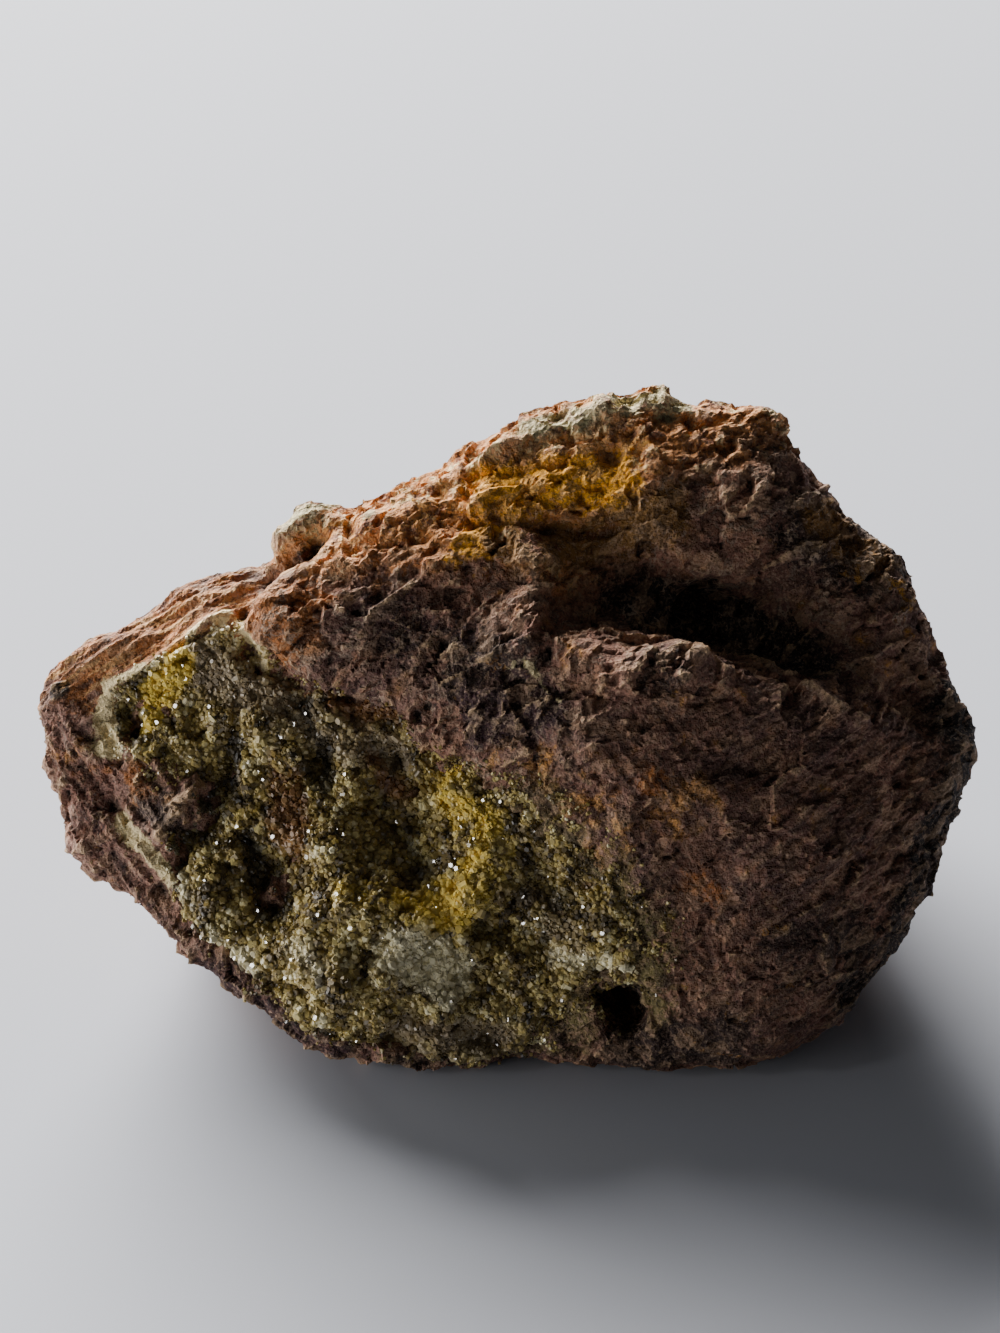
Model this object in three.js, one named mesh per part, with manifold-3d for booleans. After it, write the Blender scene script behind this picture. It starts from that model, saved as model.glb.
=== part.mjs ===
// A pyromorphite specimen: a hand-sized lump of iron-stained rock, broken from a vein, with a
// hollow in its front that is lined by one crust of small hexagonal crystals.
//
// Millimetres, +Z up. The hollow faces -Y and up, the long side runs along X, and the lump rests on
// a flat at Z = 0. The origin is the centre of the bounding box, at its base.
//
// The whole surface can be seen from a core point inside the lump, so each direction from the core
// has one distance. That distance starts as a worn hull round the lump's corners. Strokes along
// short paths then raise its ridges and knobs and sink its valley and hollow, and noise roughens it.
// The crust has a bed cut for it in the rock, and its crystals are fused to it.

import * as THREE from 'three';
import { ConvexHull } from 'three/addons/math/ConvexHull.js';
import { ImprovedNoise } from 'three/addons/math/ImprovedNoise.js';
import { mergeVertices } from 'three/addons/utils/BufferGeometryUtils.js';
import Module from 'manifold-3d';

const wasm = await Module();
wasm.setup();

// ---------------------------------------------------------------- driving dimensions

const CORE = new THREE.Vector3(2, 9, 19); // the point that the whole surface can be seen from
const REACH = new THREE.Vector3(46, 28, 24); // rough half length, half depth and half height
const ROCK_CUTS = 13; // each edge of the icosahedron is cut this many times
const EDGE_ROUNDING = 0.8; // how far the hull's edges are worn in

const CRUST_DROP = 0.7; // the crust's mean face lies this far below the rock's rim
const CRUST_THICKNESS = 2.8;
const CRUST_GAP = 0.4; // clearance between the crust and its bed
const CRUST_SPOKES = 48;
const CRUST_RINGS = 10;
const BED_RINGS = 5;
const BED_HEADROOM = 14; // the bed's cutter reaches this far out of the rock

const CRYSTAL_COUNT = 66;
const CRYSTAL_RADIUS = { least: 0.65, most: 1.3 };
const CRYSTAL_SHOWING = { least: 0.8, most: 1.8 }; // how far crystals stand out, in radii
const CRYSTAL_TAPER = 0.92; // a crystal's radius at its end, as a share of that at its root
const CRYSTAL_ROOT = 0.75; // how deep they are rooted in the crust
const CRYSTAL_LEAN = 0.8; // how far their axes may lean, as a tangent
const CRYSTAL_MARGIN = 0.82; // the share of the way to the crust's edge that they keep to
const CRYSTAL_SEED = 3;

// ---------------------------------------------------------------- form of the lump

// The lump's corners as [x, y, z]. Its broken faces are those of the hull round them.
const CORNERS = {
  leftEnd: [[-49, 2.5, 26], [-44, 7, 29.2], [-46.5, -4, 19.5], [-45, -9.5, 13.6], [-40.5, -13.5, 12.5]],
  leftLedge: [[-41, 1.5, 28], [-35.5, 3.5, 30.5], [-27.5, 6.5, 33.5], [-34, 11, 33.2], [-27, 13, 33]],
  lowerLeft: [[-33, -18.5, 10], [-26, -23.5, 7.5], [-19, -26, 5], [-40, -5, 8], [-40, 8, 12]],
  crest: [[-18.5, 17, 37.6], [-8, 20.5, 42.2], [1, 22.5, 45.2], [8.5, 24, 49], [27, 22.5, 49],
    [30, 21, 47.2]],
  rightEnd: [[33, 18.5, 41], [37, 16.5, 39], [44, 8, 32], [47, 1.5, 26], [48.3, -4, 23],
    [47.5, -9, 18], [44, -14, 14], [38.5, -20, 9.5], [34.5, -24, 6]],
  frontRidge: [[10, 1, 36], [24, -2, 33.5], [36, -4, 29.5]],
  brow: [[-25, 4, 36.5], [-12, 4, 39]],
  frontFace: [[12, -13, 30], [24, -17, 25.5], [33, -20, 17.5], [14, -26, 12], [25, -27, 10]],
  lowerFront: [[-17, -23, 12], [-4, -25, 11.5], [-3, -29, 1.4], [20, -27.2, 0.5], [29, -26.5, 3]],
  back: [[-40, 13, 20], [-29, 21, 20], [-10, 29, 24], [10, 32, 33], [27, 31, 31], [40, 22, 25],
    [45.5, 10, 20]],
  backFoot: [[-33, 16, 8], [-20, 26, 7], [0, 31, 8], [18, 30, 7], [34, 20, 8], [42, 4, 10]],
  underside: [[-19, -18, -1.4], [-11, -25.4, -1.4], [24, -25.4, -1.4], [32, -12, -1.4], [29, 13, -1.4],
    [11, 25, -1.4], [-12, 21, -1.4], [-26, 4, -1.4]],
};

// Ridges, knobs, dents and grooves along a path of one or more points. Width is their half width,
// and height how far they stand out, or how far in where it is negative.
const STROKES = [
  // the valley across the upper right, and the long ridge in front of it
  { path: [[10, 4, 37], [20, 4, 35], [27, 4.5, 33]], width: 6, height: -5 },
  { path: [[26, 5.5, 34]], width: 5, height: -5.5 },
  { path: [[27, 4, 32], [34, 3, 30], [41, 2, 28]], width: 4.5, height: -3.4 },
  { path: [[3, -1, 36], [12, -2.5, 35], [20, -4.5, 34], [33, -5, 30]], width: 4, height: 2 },
  { path: [[33, 20, 44]], width: 4.5, height: -1.6 },
  // the hollow: a long dish, a deep cavity in its middle and a gully at its left
  { path: [[-30, -3, 27], [-18, -8.5, 24], [-8, -15.5, 20.5], [0, -20.5, 16.5]], width: 9.5, height: -4.5 },
  { path: [[-10, -13, 22]], width: 5.5, height: -3 },
  { path: [[-28, -9, 21], [-24, -15, 16.5], [-22, -18, 14]], width: 3.6, height: -3 },
  { path: [[-21, -21.5, 11.5], [-14, -23, 11]], width: 4.5, height: 2.4 },
  { path: [[-17, -11, 20], [-17, -17, 16]], width: 3.6, height: 1.6 },
  { path: [[-2, -17.5, 19], [-7, -19.5, 16]], width: 3.6, height: 1.5 },
  { path: [[3, -22.5, 14]], width: 3.6, height: -1.5 },
  // the lobe and the pocket at the hollow's left rim
  { path: [[-38, -4, 23.5], [-34, -7.5, 21.5]], width: 4, height: 2.2 },
  { path: [[-37.5, -1.5, 27]], width: 2.8, height: -2.4 },
  // the blunt nose of the brow, and the cleft between it and the ledge
  { path: [[-24, 4, 36.5], [-20, 1, 34.5]], width: 3.6, height: 2.4 },
  { path: [[-24.5, 19, 33], [-26, 13, 34.5], [-27, 7, 34.5]], width: 3, height: -3 },
  // boulders and knobs along the crest, with dips between them
  { path: [[-20, 16, 38]], width: 3.2, height: 2.6 },
  { path: [[-13.5, 18, 39.5]], width: 3.4, height: -1.4 },
  { path: [[3, 23, 46]], width: 3, height: 1 },
  { path: [[9.5, 23.5, 48.5]], width: 2.6, height: 1.4 },
  { path: [[15.5, 23.5, 48]], width: 2.6, height: 1 },
  { path: [[21.5, 23, 48]], width: 3, height: -0.8 },
  { path: [[28, 22, 47.5]], width: 3, height: 1.4 },
  // an arch in the foot
  { path: [[7, -28, 0.5]], width: 6, height: -2 },
];

// Waves of noise over the whole surface, as their size and height.
const ROCK_WAVES = [{ size: 14, height: 1.4 }, { size: 7.5, height: 1.2 }, { size: 4.2, height: 0.9 }];
const CRUST_WAVES = [{ size: 5, height: 0.7 }, { size: 2.4, height: 0.5 }]; // the same for the crust's face
const NOISE_START = { y: 7.3, z: 3.1 }; // which stretch of the noise is used

// Dips of the crust alone, which leave the brow standing over it as a low cliff.
const CRUST_DIPS = [
  { path: [[-26, 3.5, 32], [-22, -1, 30], [-15, -3, 29.5], [-9.5, -6, 27]], width: 4, height: -1.8 },
  { path: [[-31.5, -7.5, 21.5], [-31, -11, 18]], width: 3.5, height: -1.2 },
];

// The vug: a deep three-cornered hole low in the front, with a flat roof.
const VUG = { mouth: [12.2, -29, 12.6], tip: [11.5, -19, 4], radius: 4.6, turn: Math.PI / 3 };

// The crust's edge, in order round the hollow, anticlockwise as seen from outside.
const CRUST_EDGE = [[-40.5, -3, 24], [-38.5, -4, 22.5], [-34, -6.5, 21.5], [-31.5, -8.5, 19.5],
  [-34.5, -10.5, 17], [-35, -12.5, 15], [-32, -15.5, 12.5], [-24, -21, 9.5], [-19, -24, 7.5],
  [-13, -25.5, 5], [-7.5, -26, 3.5], [-0.5, -25, 3.5], [5.5, -24.5, 7.5], [9, -23.5, 11],
  [13, -22.5, 14], [13.5, -21, 17], [7.5, -16, 21.5], [2.5, -12.5, 24], [-3.5, -9, 25],
  [-8.5, -6, 26.5], [-11.5, -4, 30], [-17, -2, 29.5], [-21, -1.5, 30], [-23.5, 1, 29.5],
  [-27.5, 5, 32.5], [-31, 4, 32], [-38.5, 2, 27.5], [-41, 0.5, 26.5]];
const CRUST_MIDDLE = [-17, -8, 22];

const COLOURS = { rock: 0x6e4a3a, crust: 0x8c8440 };

const UP = new THREE.Vector3(0, 1, 0); // the axis of a cone or prism as it is made

const vector = (p) => new THREE.Vector3(...p);
const hullPlanes = facePlanes(Object.values(CORNERS).flat().map(vector));

// The planes of the hull round some points, each with its distance from the core.
function facePlanes(points) {
  return new ConvexHull().setFromPoints(points).faces.map((face) => ({
    normal: face.normal.clone(),
    distance: face.midpoint.clone().sub(CORE).dot(face.normal),
  }));
}

// How far the hull is from the core along a unit vector, with its edges worn in.
function hullReach(along) {
  const hits = hullPlanes.map((f) => f.distance / f.normal.dot(along)).filter((d) => d > 0);
  const first = Math.min(...hits);
  const crowd = hits.reduce((sum, d) => sum + Math.exp((first - d) / EDGE_ROUNDING), 0);
  return first - EDGE_ROUNDING * Math.log(crowd);
}

// ---------------------------------------------------------------- relief of the surface

const noise = new ImprovedNoise();
const wave = (p, size) =>
  noise.noise(p.x / size + size, p.y / size + NOISE_START.y, p.z / size + NOISE_START.z);
const withPoints = (strokes) => strokes.map((s) => ({ ...s, points: s.path.map(vector) }));
const strokes = withPoints(STROKES);
const crustDips = withPoints(CRUST_DIPS);
const nearest = new THREE.Vector3();

function distanceToPath(p, points) {
  if (points.length === 1) return p.distanceTo(points[0]);
  return Math.min(...points.slice(1).map((end, i) =>
    new THREE.Line3(points[i], end).closestPointToPoint(p, true, nearest).distanceTo(p)));
}

// What some waves of noise add up to at p.
function waviness(p, waves) {
  return waves.reduce((sum, { size, height }) => sum + height * wave(p, size), 0);
}

// What some strokes add up to at p.
function carved(p, marks) {
  return marks.reduce((sum, m) =>
    sum + m.height * Math.exp(-((distanceToPath(p, m.points) / m.width) ** 2)), 0);
}

// How far the surface near p stands out from the hull.
function relief(p) {
  return carved(p, strokes) + waviness(p, ROCK_WAVES);
}

// A unit direction from the core, measured in reaches so that a long lump counts as a round one.
function directionOf(point) {
  return point.clone().sub(CORE).divide(REACH).normalize();
}

// The point of the surface in such a direction, raised by some millimetres.
function surfacePoint(direction, raise = 0) {
  const along = direction.clone().multiply(REACH).normalize();
  const hull = along.clone().multiplyScalar(hullReach(along)).add(CORE);
  const point = hull.clone().addScaledVector(along, relief(hull) + raise);
  point.z = Math.max(0, point.z);
  return point;
}

// ---------------------------------------------------------------- meshes and solids

function toSolid(geometry) {
  const bare = geometry.clone();
  bare.deleteAttribute('normal');
  bare.deleteAttribute('uv');
  const merged = mergeVertices(bare, 1e-4);
  return new wasm.Manifold(new wasm.Mesh({
    numProp: 3,
    vertProperties: new Float32Array(merged.attributes.position.array),
    triVerts: new Uint32Array(merged.index.array),
  }));
}

function toGeometry(solid) {
  const mesh = solid.getMesh();
  const places = new Float32Array(mesh.numVert * 3);
  for (let i = 0; i < mesh.numVert; i++) {
    places.set(mesh.vertProperties.subarray(i * mesh.numProp, i * mesh.numProp + 3), i * 3);
  }
  const geometry = new THREE.BufferGeometry();
  geometry.setAttribute('position', new THREE.BufferAttribute(places, 3));
  geometry.setIndex(new THREE.BufferAttribute(new Uint32Array(mesh.triVerts), 1));
  geometry.computeVertexNormals();
  return geometry;
}

// A steady stream of random numbers from 0 to 1.
function randomStream(seed) {
  let state = seed;
  return () => {
    state = (state * 1664525 + 1013904223) % 4294967296;
    return state / 4294967296;
  };
}

// ---------------------------------------------------------------- the rock

function lumpSolid() {
  const ball = new THREE.IcosahedronGeometry(1, ROCK_CUTS);
  const places = ball.attributes.position;
  for (let i = 0; i < places.count; i++) {
    const corner = new THREE.Vector3().fromBufferAttribute(places, i).normalize();
    const point = surfacePoint(corner);
    places.setXYZ(i, point.x, point.y, point.z);
  }
  return toSolid(ball);
}

// The vug's cutter, a three-sided spike that points into the rock.
function vugSolid() {
  const mouth = vector(VUG.mouth);
  const inward = vector(VUG.tip).sub(mouth);
  const spike = new THREE.ConeGeometry(VUG.radius, inward.length(), 3);
  spike.rotateY(VUG.turn);
  spike.applyQuaternion(new THREE.Quaternion().setFromUnitVectors(UP, inward.clone().normalize()));
  spike.translate(...mouth.addScaledVector(inward, 0.5).toArray());
  return toSolid(spike);
}

// ---------------------------------------------------------------- the crust and its bed

// The hollow is laid out flat round the direction of its middle. A place in the layout lies as far
// from the origin as its direction leans from the middle, in radians.
const middle = directionOf(vector(CRUST_MIDDLE));
const across = new THREE.Vector3(0, 0, 1).cross(middle).normalize();
const upward = middle.clone().cross(across);

function layOut(direction) {
  const place = new THREE.Vector3(direction.dot(across), direction.dot(upward), 0);
  return place.setLength(direction.angleTo(middle));
}

function liftOff(place) {
  const lean = place.length();
  const sideways = across.clone().multiplyScalar(place.x).addScaledVector(upward, place.y);
  return sideways.setLength(Math.sin(lean)).addScaledVector(middle, Math.cos(lean));
}

const crustEdge = new THREE.CatmullRomCurve3(CRUST_EDGE.map((p) => layOut(directionOf(vector(p)))), true)
  .getSpacedPoints(CRUST_SPOKES).slice(0, CRUST_SPOKES);

// One face of a slab over the hollow: a middle point, then rings that end at its edge. The inset
// draws the last ring in, and is in radians as the layout is.
function slabFace({ rings, raise }, inset) {
  const places = [new THREE.Vector3()];
  for (let ring = 1; ring <= rings; ring++) {
    for (const edge of crustEdge) {
      places.push(edge.clone().multiplyScalar(Math.min(ring / rings, 1 - inset / edge.length())));
    }
  }
  return places.map((place) => surfacePoint(liftOff(place), raise(place)));
}

// The triangles of such a face, facing out, with its points starting at a given number.
function faceTriangles(rings, first) {
  const at = (ring, spoke) => first + (ring ? 1 + (ring - 1) * CRUST_SPOKES + (spoke % CRUST_SPOKES) : 0);
  const triangles = [];
  for (let spoke = 0; spoke < CRUST_SPOKES; spoke++) {
    triangles.push(at(0, 0), at(1, spoke), at(1, spoke + 1));
    for (let ring = 1; ring < rings; ring++) {
      triangles.push(at(ring, spoke), at(ring + 1, spoke), at(ring + 1, spoke + 1));
      triangles.push(at(ring, spoke), at(ring + 1, spoke + 1), at(ring, spoke + 1));
    }
  }
  return triangles;
}

// A closed slab over the hollow between two such faces.
function slabSolid(top, bottom, inset = 0) {
  const upper = slabFace(top, inset);
  const lower = slabFace(bottom, inset);
  const upperRim = upper.length - CRUST_SPOKES;
  const lowerRim = upper.length + lower.length - CRUST_SPOKES;
  const turned = faceTriangles(bottom.rings, upper.length).reverse();
  const index = [...faceTriangles(top.rings, 0), ...turned];
  for (let spoke = 0; spoke < CRUST_SPOKES; spoke++) {
    const next = (spoke + 1) % CRUST_SPOKES;
    index.push(upperRim + spoke, lowerRim + spoke, lowerRim + next);
    index.push(upperRim + spoke, lowerRim + next, upperRim + next);
  }
  const geometry = new THREE.BufferGeometry().setFromPoints([...upper, ...lower]);
  geometry.setIndex(index);
  return toSolid(geometry);
}

// How far the crust's smooth mean face lies below the rock's rim, as a negative number.
function crustLevel(place) {
  return carved(surfacePoint(liftOff(place)), crustDips) - CRUST_DROP;
}

function crustUnderside(place) {
  return crustLevel(place) - CRUST_THICKNESS;
}

// The room that is cut in the rock for the crust, open to the air.
function bedSolid() {
  const open = { rings: 2, raise: () => BED_HEADROOM };
  return slabSolid(open, { rings: BED_RINGS, raise: (place) => crustUnderside(place) - CRUST_GAP });
}

// The crust's face is lumpy, like grains grown against each other.
function crustRaise(place) {
  return crustLevel(place) + waviness(place.clone().multiplyScalar(REACH.y), CRUST_WAVES);
}

function crustPoint(place) {
  return surfacePoint(liftOff(place), crustRaise(place));
}

// The direction from the core, in which the crust's thickness is measured.
function outwardAt(place) {
  return liftOff(place).multiply(REACH).normalize();
}

// The direction square to the crust's face, measured over a short step.
function crustNormal(place) {
  const step = 0.04;
  const root = crustPoint(place);
  const eastward = crustPoint(place.clone().add(new THREE.Vector3(step, 0, 0))).sub(root);
  const northward = crustPoint(place.clone().add(new THREE.Vector3(0, step, 0))).sub(root);
  return eastward.cross(northward).normalize();
}

// A place on the crust, as likely here as there: a spoke is taken by the area that it sweeps.
function scatteredPlace(random) {
  const longest = Math.max(...crustEdge.map((edge) => edge.length()));
  let edge;
  do edge = crustEdge[Math.floor(random() * CRUST_SPOKES)];
  while (random() > (edge.length() / longest) ** 2);
  return edge.clone().multiplyScalar(CRYSTAL_MARGIN * Math.sqrt(random()));
}

// A six-sided crystal, a little narrower at its flat end, that stands anyhow on the crust.
function crystalSolid(random) {
  const place = scatteredPlace(random);
  const lean = new THREE.Vector3(random() - 0.5, random() - 0.5, random() - 0.5);
  const axis = crustNormal(place).addScaledVector(lean, CRYSTAL_LEAN).normalize();
  const root = CRYSTAL_ROOT * axis.dot(outwardAt(place));
  const radius = THREE.MathUtils.lerp(CRYSTAL_RADIUS.least, CRYSTAL_RADIUS.most, random() ** 2);
  const showing = radius * THREE.MathUtils.lerp(CRYSTAL_SHOWING.least, CRYSTAL_SHOWING.most, random());
  const prism = new THREE.CylinderGeometry(radius * CRYSTAL_TAPER, radius, showing + root, 6);
  prism.rotateY(random() * Math.PI);
  prism.applyQuaternion(new THREE.Quaternion().setFromUnitVectors(UP, axis));
  prism.translate(...crustPoint(place).addScaledVector(axis, (showing - root) / 2).toArray());
  return toSolid(prism);
}

function crustSolid() {
  const random = randomStream(CRYSTAL_SEED);
  const top = { rings: CRUST_RINGS, raise: crustRaise };
  const bottom = { rings: BED_RINGS, raise: crustUnderside };
  let crust = slabSolid(top, bottom, CRUST_GAP / REACH.z);
  for (let i = 0; i < CRYSTAL_COUNT; i++) crust = crust.add(crystalSolid(random));
  return crust;
}

// ---------------------------------------------------------------- the whole specimen

const rockSolid = lumpSolid().subtract(vugSolid()).subtract(bedSolid());
const pieces = {
  matrix_rock: { solid: rockSolid, colour: COLOURS.rock, roughness: 0.9 },
  pyromorphite_crust: { solid: crustSolid(), colour: COLOURS.crust, roughness: 0.3 },
};

const specimen = new THREE.Group();
for (const [name, { solid, colour, roughness }] of Object.entries(pieces)) {
  const material = new THREE.MeshStandardMaterial({ color: colour, roughness, metalness: 0 });
  const piece = new THREE.Mesh(toGeometry(solid), material);
  piece.name = name;
  specimen.add(piece);
}
const bounds = new THREE.Box3().setFromObject(specimen);
const centre = bounds.getCenter(new THREE.Vector3());
specimen.position.set(-centre.x, -centre.y, -bounds.min.z);

const group = new THREE.Group();
group.add(specimen);
export default group;
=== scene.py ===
# %% [markdown]
# # A pyromorphite specimen
#
# Where rain and air reach a vein of lead ore, the ore weathers, and small green and yellow crystals
# of pyromorphite line the hollows of the rusty rock. This specimen is a hand-sized lump of that
# rock, with one such hollow in its front. It lies on a sheet of pale paper, lit by a window.
#
# The frame holds the lump and the crust of its hollow as plain solids at their real size. They say
# where everything is, so the first thing to do is to load them.

import itertools
from math import cos, pi, radians, sin, tau

import bmesh
import bpy
import numpy as np
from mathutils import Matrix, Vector
from mathutils.bvhtree import BVHTree


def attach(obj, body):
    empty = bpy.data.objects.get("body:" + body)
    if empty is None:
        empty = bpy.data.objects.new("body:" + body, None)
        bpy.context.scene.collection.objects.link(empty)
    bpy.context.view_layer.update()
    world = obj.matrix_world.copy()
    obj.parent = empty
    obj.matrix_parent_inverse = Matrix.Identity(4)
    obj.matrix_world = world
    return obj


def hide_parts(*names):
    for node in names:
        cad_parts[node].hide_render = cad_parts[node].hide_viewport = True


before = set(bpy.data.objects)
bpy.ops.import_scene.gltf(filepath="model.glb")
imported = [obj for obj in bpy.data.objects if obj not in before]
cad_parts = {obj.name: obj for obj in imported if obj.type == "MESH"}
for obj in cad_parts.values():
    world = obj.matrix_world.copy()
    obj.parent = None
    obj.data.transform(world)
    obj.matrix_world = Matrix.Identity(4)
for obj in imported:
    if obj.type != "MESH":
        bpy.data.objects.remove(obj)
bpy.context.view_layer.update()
MM = 0.001  # Blender works in metres, and this script in millimetres
print("the frame holds", sorted(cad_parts))

# %% [markdown]
# ## The camera
#
# The camera stands in front of the lump and looks down on it at 40 degrees, which shows the crust,
# the brow over it and the crest behind. A lens of 54 mm from 20 cm away gives a mild perspective. A
# camera could be pushed into place by hand, but here it is worked out from the point that it looks
# at, so its tilt and its distance can be changed one at a time.

# %% Camera
CAMERA_TILT = radians(40)
CAMERA_DISTANCE = 203
LENS = 54.0
LOOKED_AT = np.array([-0.3, 2.2, 27.4])  # a point inside the lump


def show(name, data):
    """Puts a new object with a camera, a light or a mesh into the scene."""
    made = bpy.data.objects.new(name, data)
    bpy.context.collection.objects.link(made)
    return made


backwards = np.array([0, -cos(CAMERA_TILT), sin(CAMERA_TILT)])
camera = show("camera", bpy.data.cameras.new("camera"))
camera.data.lens = LENS
camera.data.sensor_width = 36
camera.location = (LOOKED_AT + backwards * CAMERA_DISTANCE) * MM
camera.rotation_euler = (pi / 2 - CAMERA_TILT, 0, 0)
camera.data.clip_start = 0.01
bpy.context.scene.camera = camera
print("the camera is at", [round(x / MM, 1) for x in camera.location], "mm")

# %% [markdown]
# ## Noise, the sculptor of stone
#
# Broken rock has no outline that could be drawn: it has lumps on lumps, down to sand. So its shape
# comes from noise, which is numbers that look random but are always the same at the same place.
# Plain noise gives soft swells, its layers give broken stone, and its folded form gives sharp ridges
# with pits between them. The last kind scatters spots through space and takes the nearest one, which
# gives packed grains, and flat chips with steps between them.
#
# Blender has such textures, but a script would have to ask them for one vertex at a time. With numpy
# one call serves all vertices. All chance comes from one seed, so every run makes the same stone.

# %% A source of chance
SEED = 11
TICKETS = 256  # the cells of space share this many different numbers

dice = np.random.default_rng(SEED)
SHUFFLED = np.tile(dice.permutation(TICKETS), 2)
SLOPES = dice.normal(size=(TICKETS, 3))  # a direction for each number
SLOPES /= np.linalg.norm(SLOPES, axis=1)[:, None]
SPOTS = dice.random((TICKETS, 3))  # and a place inside its cell
print("drawn:", len(SLOPES), "slopes and", len(SPOTS), "spots")

# %% Plain, layered and folded noise
SEEDS_APART = 31.7  # how far the noises of two seeds lie from each other, in cells
LOUDNESS = 1.8  # which brings plain noise to about -1 to 1


def ticket(cell):
    """A number for each cell of space, always the same for the same cell."""
    x, y, z = (cell & (TICKETS - 1)).T
    return SHUFFLED[SHUFFLED[SHUFFLED[x] + y] + z]


def noise(points, size, seed=0):
    """Soft noise from about -1 to 1, with swells about size apart."""
    place = points / size + SEEDS_APART * seed
    cell = np.floor(place).astype(int)
    inside = place - cell
    fade = inside * inside * (3 - 2 * inside)
    total = np.zeros(len(points))
    for corner in itertools.product((0, 1), repeat=3):
        step = np.array(corner)
        share = np.where(step, fade, 1 - fade).prod(axis=1)
        total += share * ((inside - step) * SLOPES[ticket(cell + step)]).sum(axis=1)
    return total * LOUDNESS


def layered(points, size, layers=4, seed=0, fall=0.5):
    """Noise on noise, each layer half the size of the last."""
    return sum(fall**k * noise(points, size / 2**k, seed + k) for k in range(layers))


def folded(points, size, layers=3, seed=0, fall=0.5):
    """Noise folded at zero: sharp ridges at 1 and round pits towards 0."""
    parts = [fall**k * (1 - abs(noise(points, size / 2**k, seed + k))) for k in range(layers)]
    return sum(parts) / sum(fall**k for k in range(layers))


def warped(points, size, amount, seed=0):
    """Points that are pushed about by noise, which breaks up straight edges."""
    push = [noise(points, size, seed + 5 * k) for k in (1, 2, 3)]
    return points + amount * np.stack(push, axis=1)


print("noise at the middle of the lump:", noise(np.array([[0.0, 0.0, 20.0]]), 7).round(3))

# %% Grains and chips
def grains(points, size, seed=0):
    """Packed grains: the way from the nearest grain's middle, how long it is, and the grain's number."""
    place = points / size + SEEDS_APART * seed
    cell = np.floor(place).astype(int)
    way = np.full((len(points), 3), 9.0)
    closest = np.full(len(points), 9.0)
    which = np.zeros(len(points), int)
    for corner in itertools.product((-1, 0, 1), repeat=3):
        near = cell + np.array(corner)
        number = ticket(near)
        offset = place - near - SPOTS[number]
        far = np.sqrt(np.einsum("ij,ij->i", offset, offset))
        better = far < closest
        way[better] = offset[better]
        which[better] = number[better]
        closest[better] = far[better]
    return way, closest, which


def chips(points, size, seed=0):
    """Broken stone: each grain ends in a flat facet that tilts its own way, with steps between."""
    way, _, which = grains(points, size, seed)
    return (way * SLOPES[which]).sum(axis=1) + 0.5 * (SPOTS[which, 0] - 0.5)


def smooth(value, low, high):
    """0 below low, 1 above high, and a soft step between them."""
    share = np.clip((value - low) / (high - low), 0, 1)
    return share * share * (3 - 2 * share)


print("a chip at the middle of the lump:", chips(np.array([[0.0, 0.0, 20.0]]), 5).round(3))

# %% [markdown]
# ## Strokes
#
# Noise makes stone, but not this stone. What makes it this one is where its ridges, pits and stains
# lie. Each of them is given as a stroke: a path of a few points, drawn through the lump in
# millimetres, and a width. A stroke is 1 on its path and fades out sideways, so one list of strokes
# can raise or sink the surface, and another can colour it.

# %% Strokes
def distance(points, path):
    """How far each point is from a path of straight stretches."""
    path = np.array(path, float)
    nearest = np.linalg.norm(points - path[0], axis=1)
    for start, end in zip(path[:-1], path[1:]):
        run = end - start
        share = np.clip((points - start) @ run / (run @ run), 0, 1)
        across = points - start - share[:, None] * run
        nearest = np.minimum(nearest, np.linalg.norm(across, axis=1))
    return nearest


def stroke(points, path, width):
    """1 along a path, and almost 0 from twice its width."""
    return np.exp(-((distance(points, path) / width) ** 2))


def strokes(points, drawn):
    """The sum of several strokes, each a path, a width and a height."""
    return sum(height * stroke(points, path, width) for path, width, height in drawn)


print("a stroke at its width:", stroke(np.array([[0.0, 1.0, 0.0]]), [(-1, 0, 0), (1, 0, 0)], 1).round(2))

# %% [markdown]
# ## From the frame to one skin
#
# The two solids of the frame are faceted, and a narrow gap parts the crust from its bed. To sculpt
# them as one stone they need one even skin. They could be joined by hand, face by face. Here the
# crust is swollen until it closes the gap, both are put in one mesh, and a voxel Remesh wraps them
# in small even faces, as clay would.

# %% Read and write a mesh
def read(parts, what, width, kind=float):
    """One property of all vertices, edges or triangles of a mesh, in rows."""
    flat = np.empty(width * len(parts), kind)
    parts.foreach_get(what, flat)
    return flat.reshape(-1, width)


def points_of(mesh):
    """The vertices of a mesh, in millimetres."""
    return read(mesh.vertices, "co", 3) / MM


def normals_of(mesh):
    """The direction that each vertex of a mesh faces."""
    return read(mesh.vertex_normals, "vector", 3)


def move_to(mesh, points):
    """Puts the vertices of a mesh at new places."""
    mesh.vertices.foreach_set("co", (points * MM).ravel())
    mesh.update()


def set_values(mesh, name, values):
    """Stores a number for each vertex under a name, where a material can read it."""
    layer = mesh.attributes.get(name) or mesh.attributes.new(name, "FLOAT", "POINT")
    layer.data.foreach_set("value", values.astype(np.float32))


def values_of(mesh, name):
    """The numbers that are stored under a name."""
    return read(mesh.attributes[name].data, "value", 1, np.float32).ravel()


def triangles(mesh):
    """How many triangles a mesh has."""
    mesh.calc_loop_triangles()
    return len(mesh.loop_triangles)


print("the rock's solid has", triangles(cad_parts["matrix_rock"].data), "triangles")

# %% Make one mesh from another
def as_mesh(form, name):
    """A mesh of what was built or edited in bmesh."""
    mesh = bpy.data.meshes.new(name)
    form.to_mesh(mesh)
    return mesh


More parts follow.
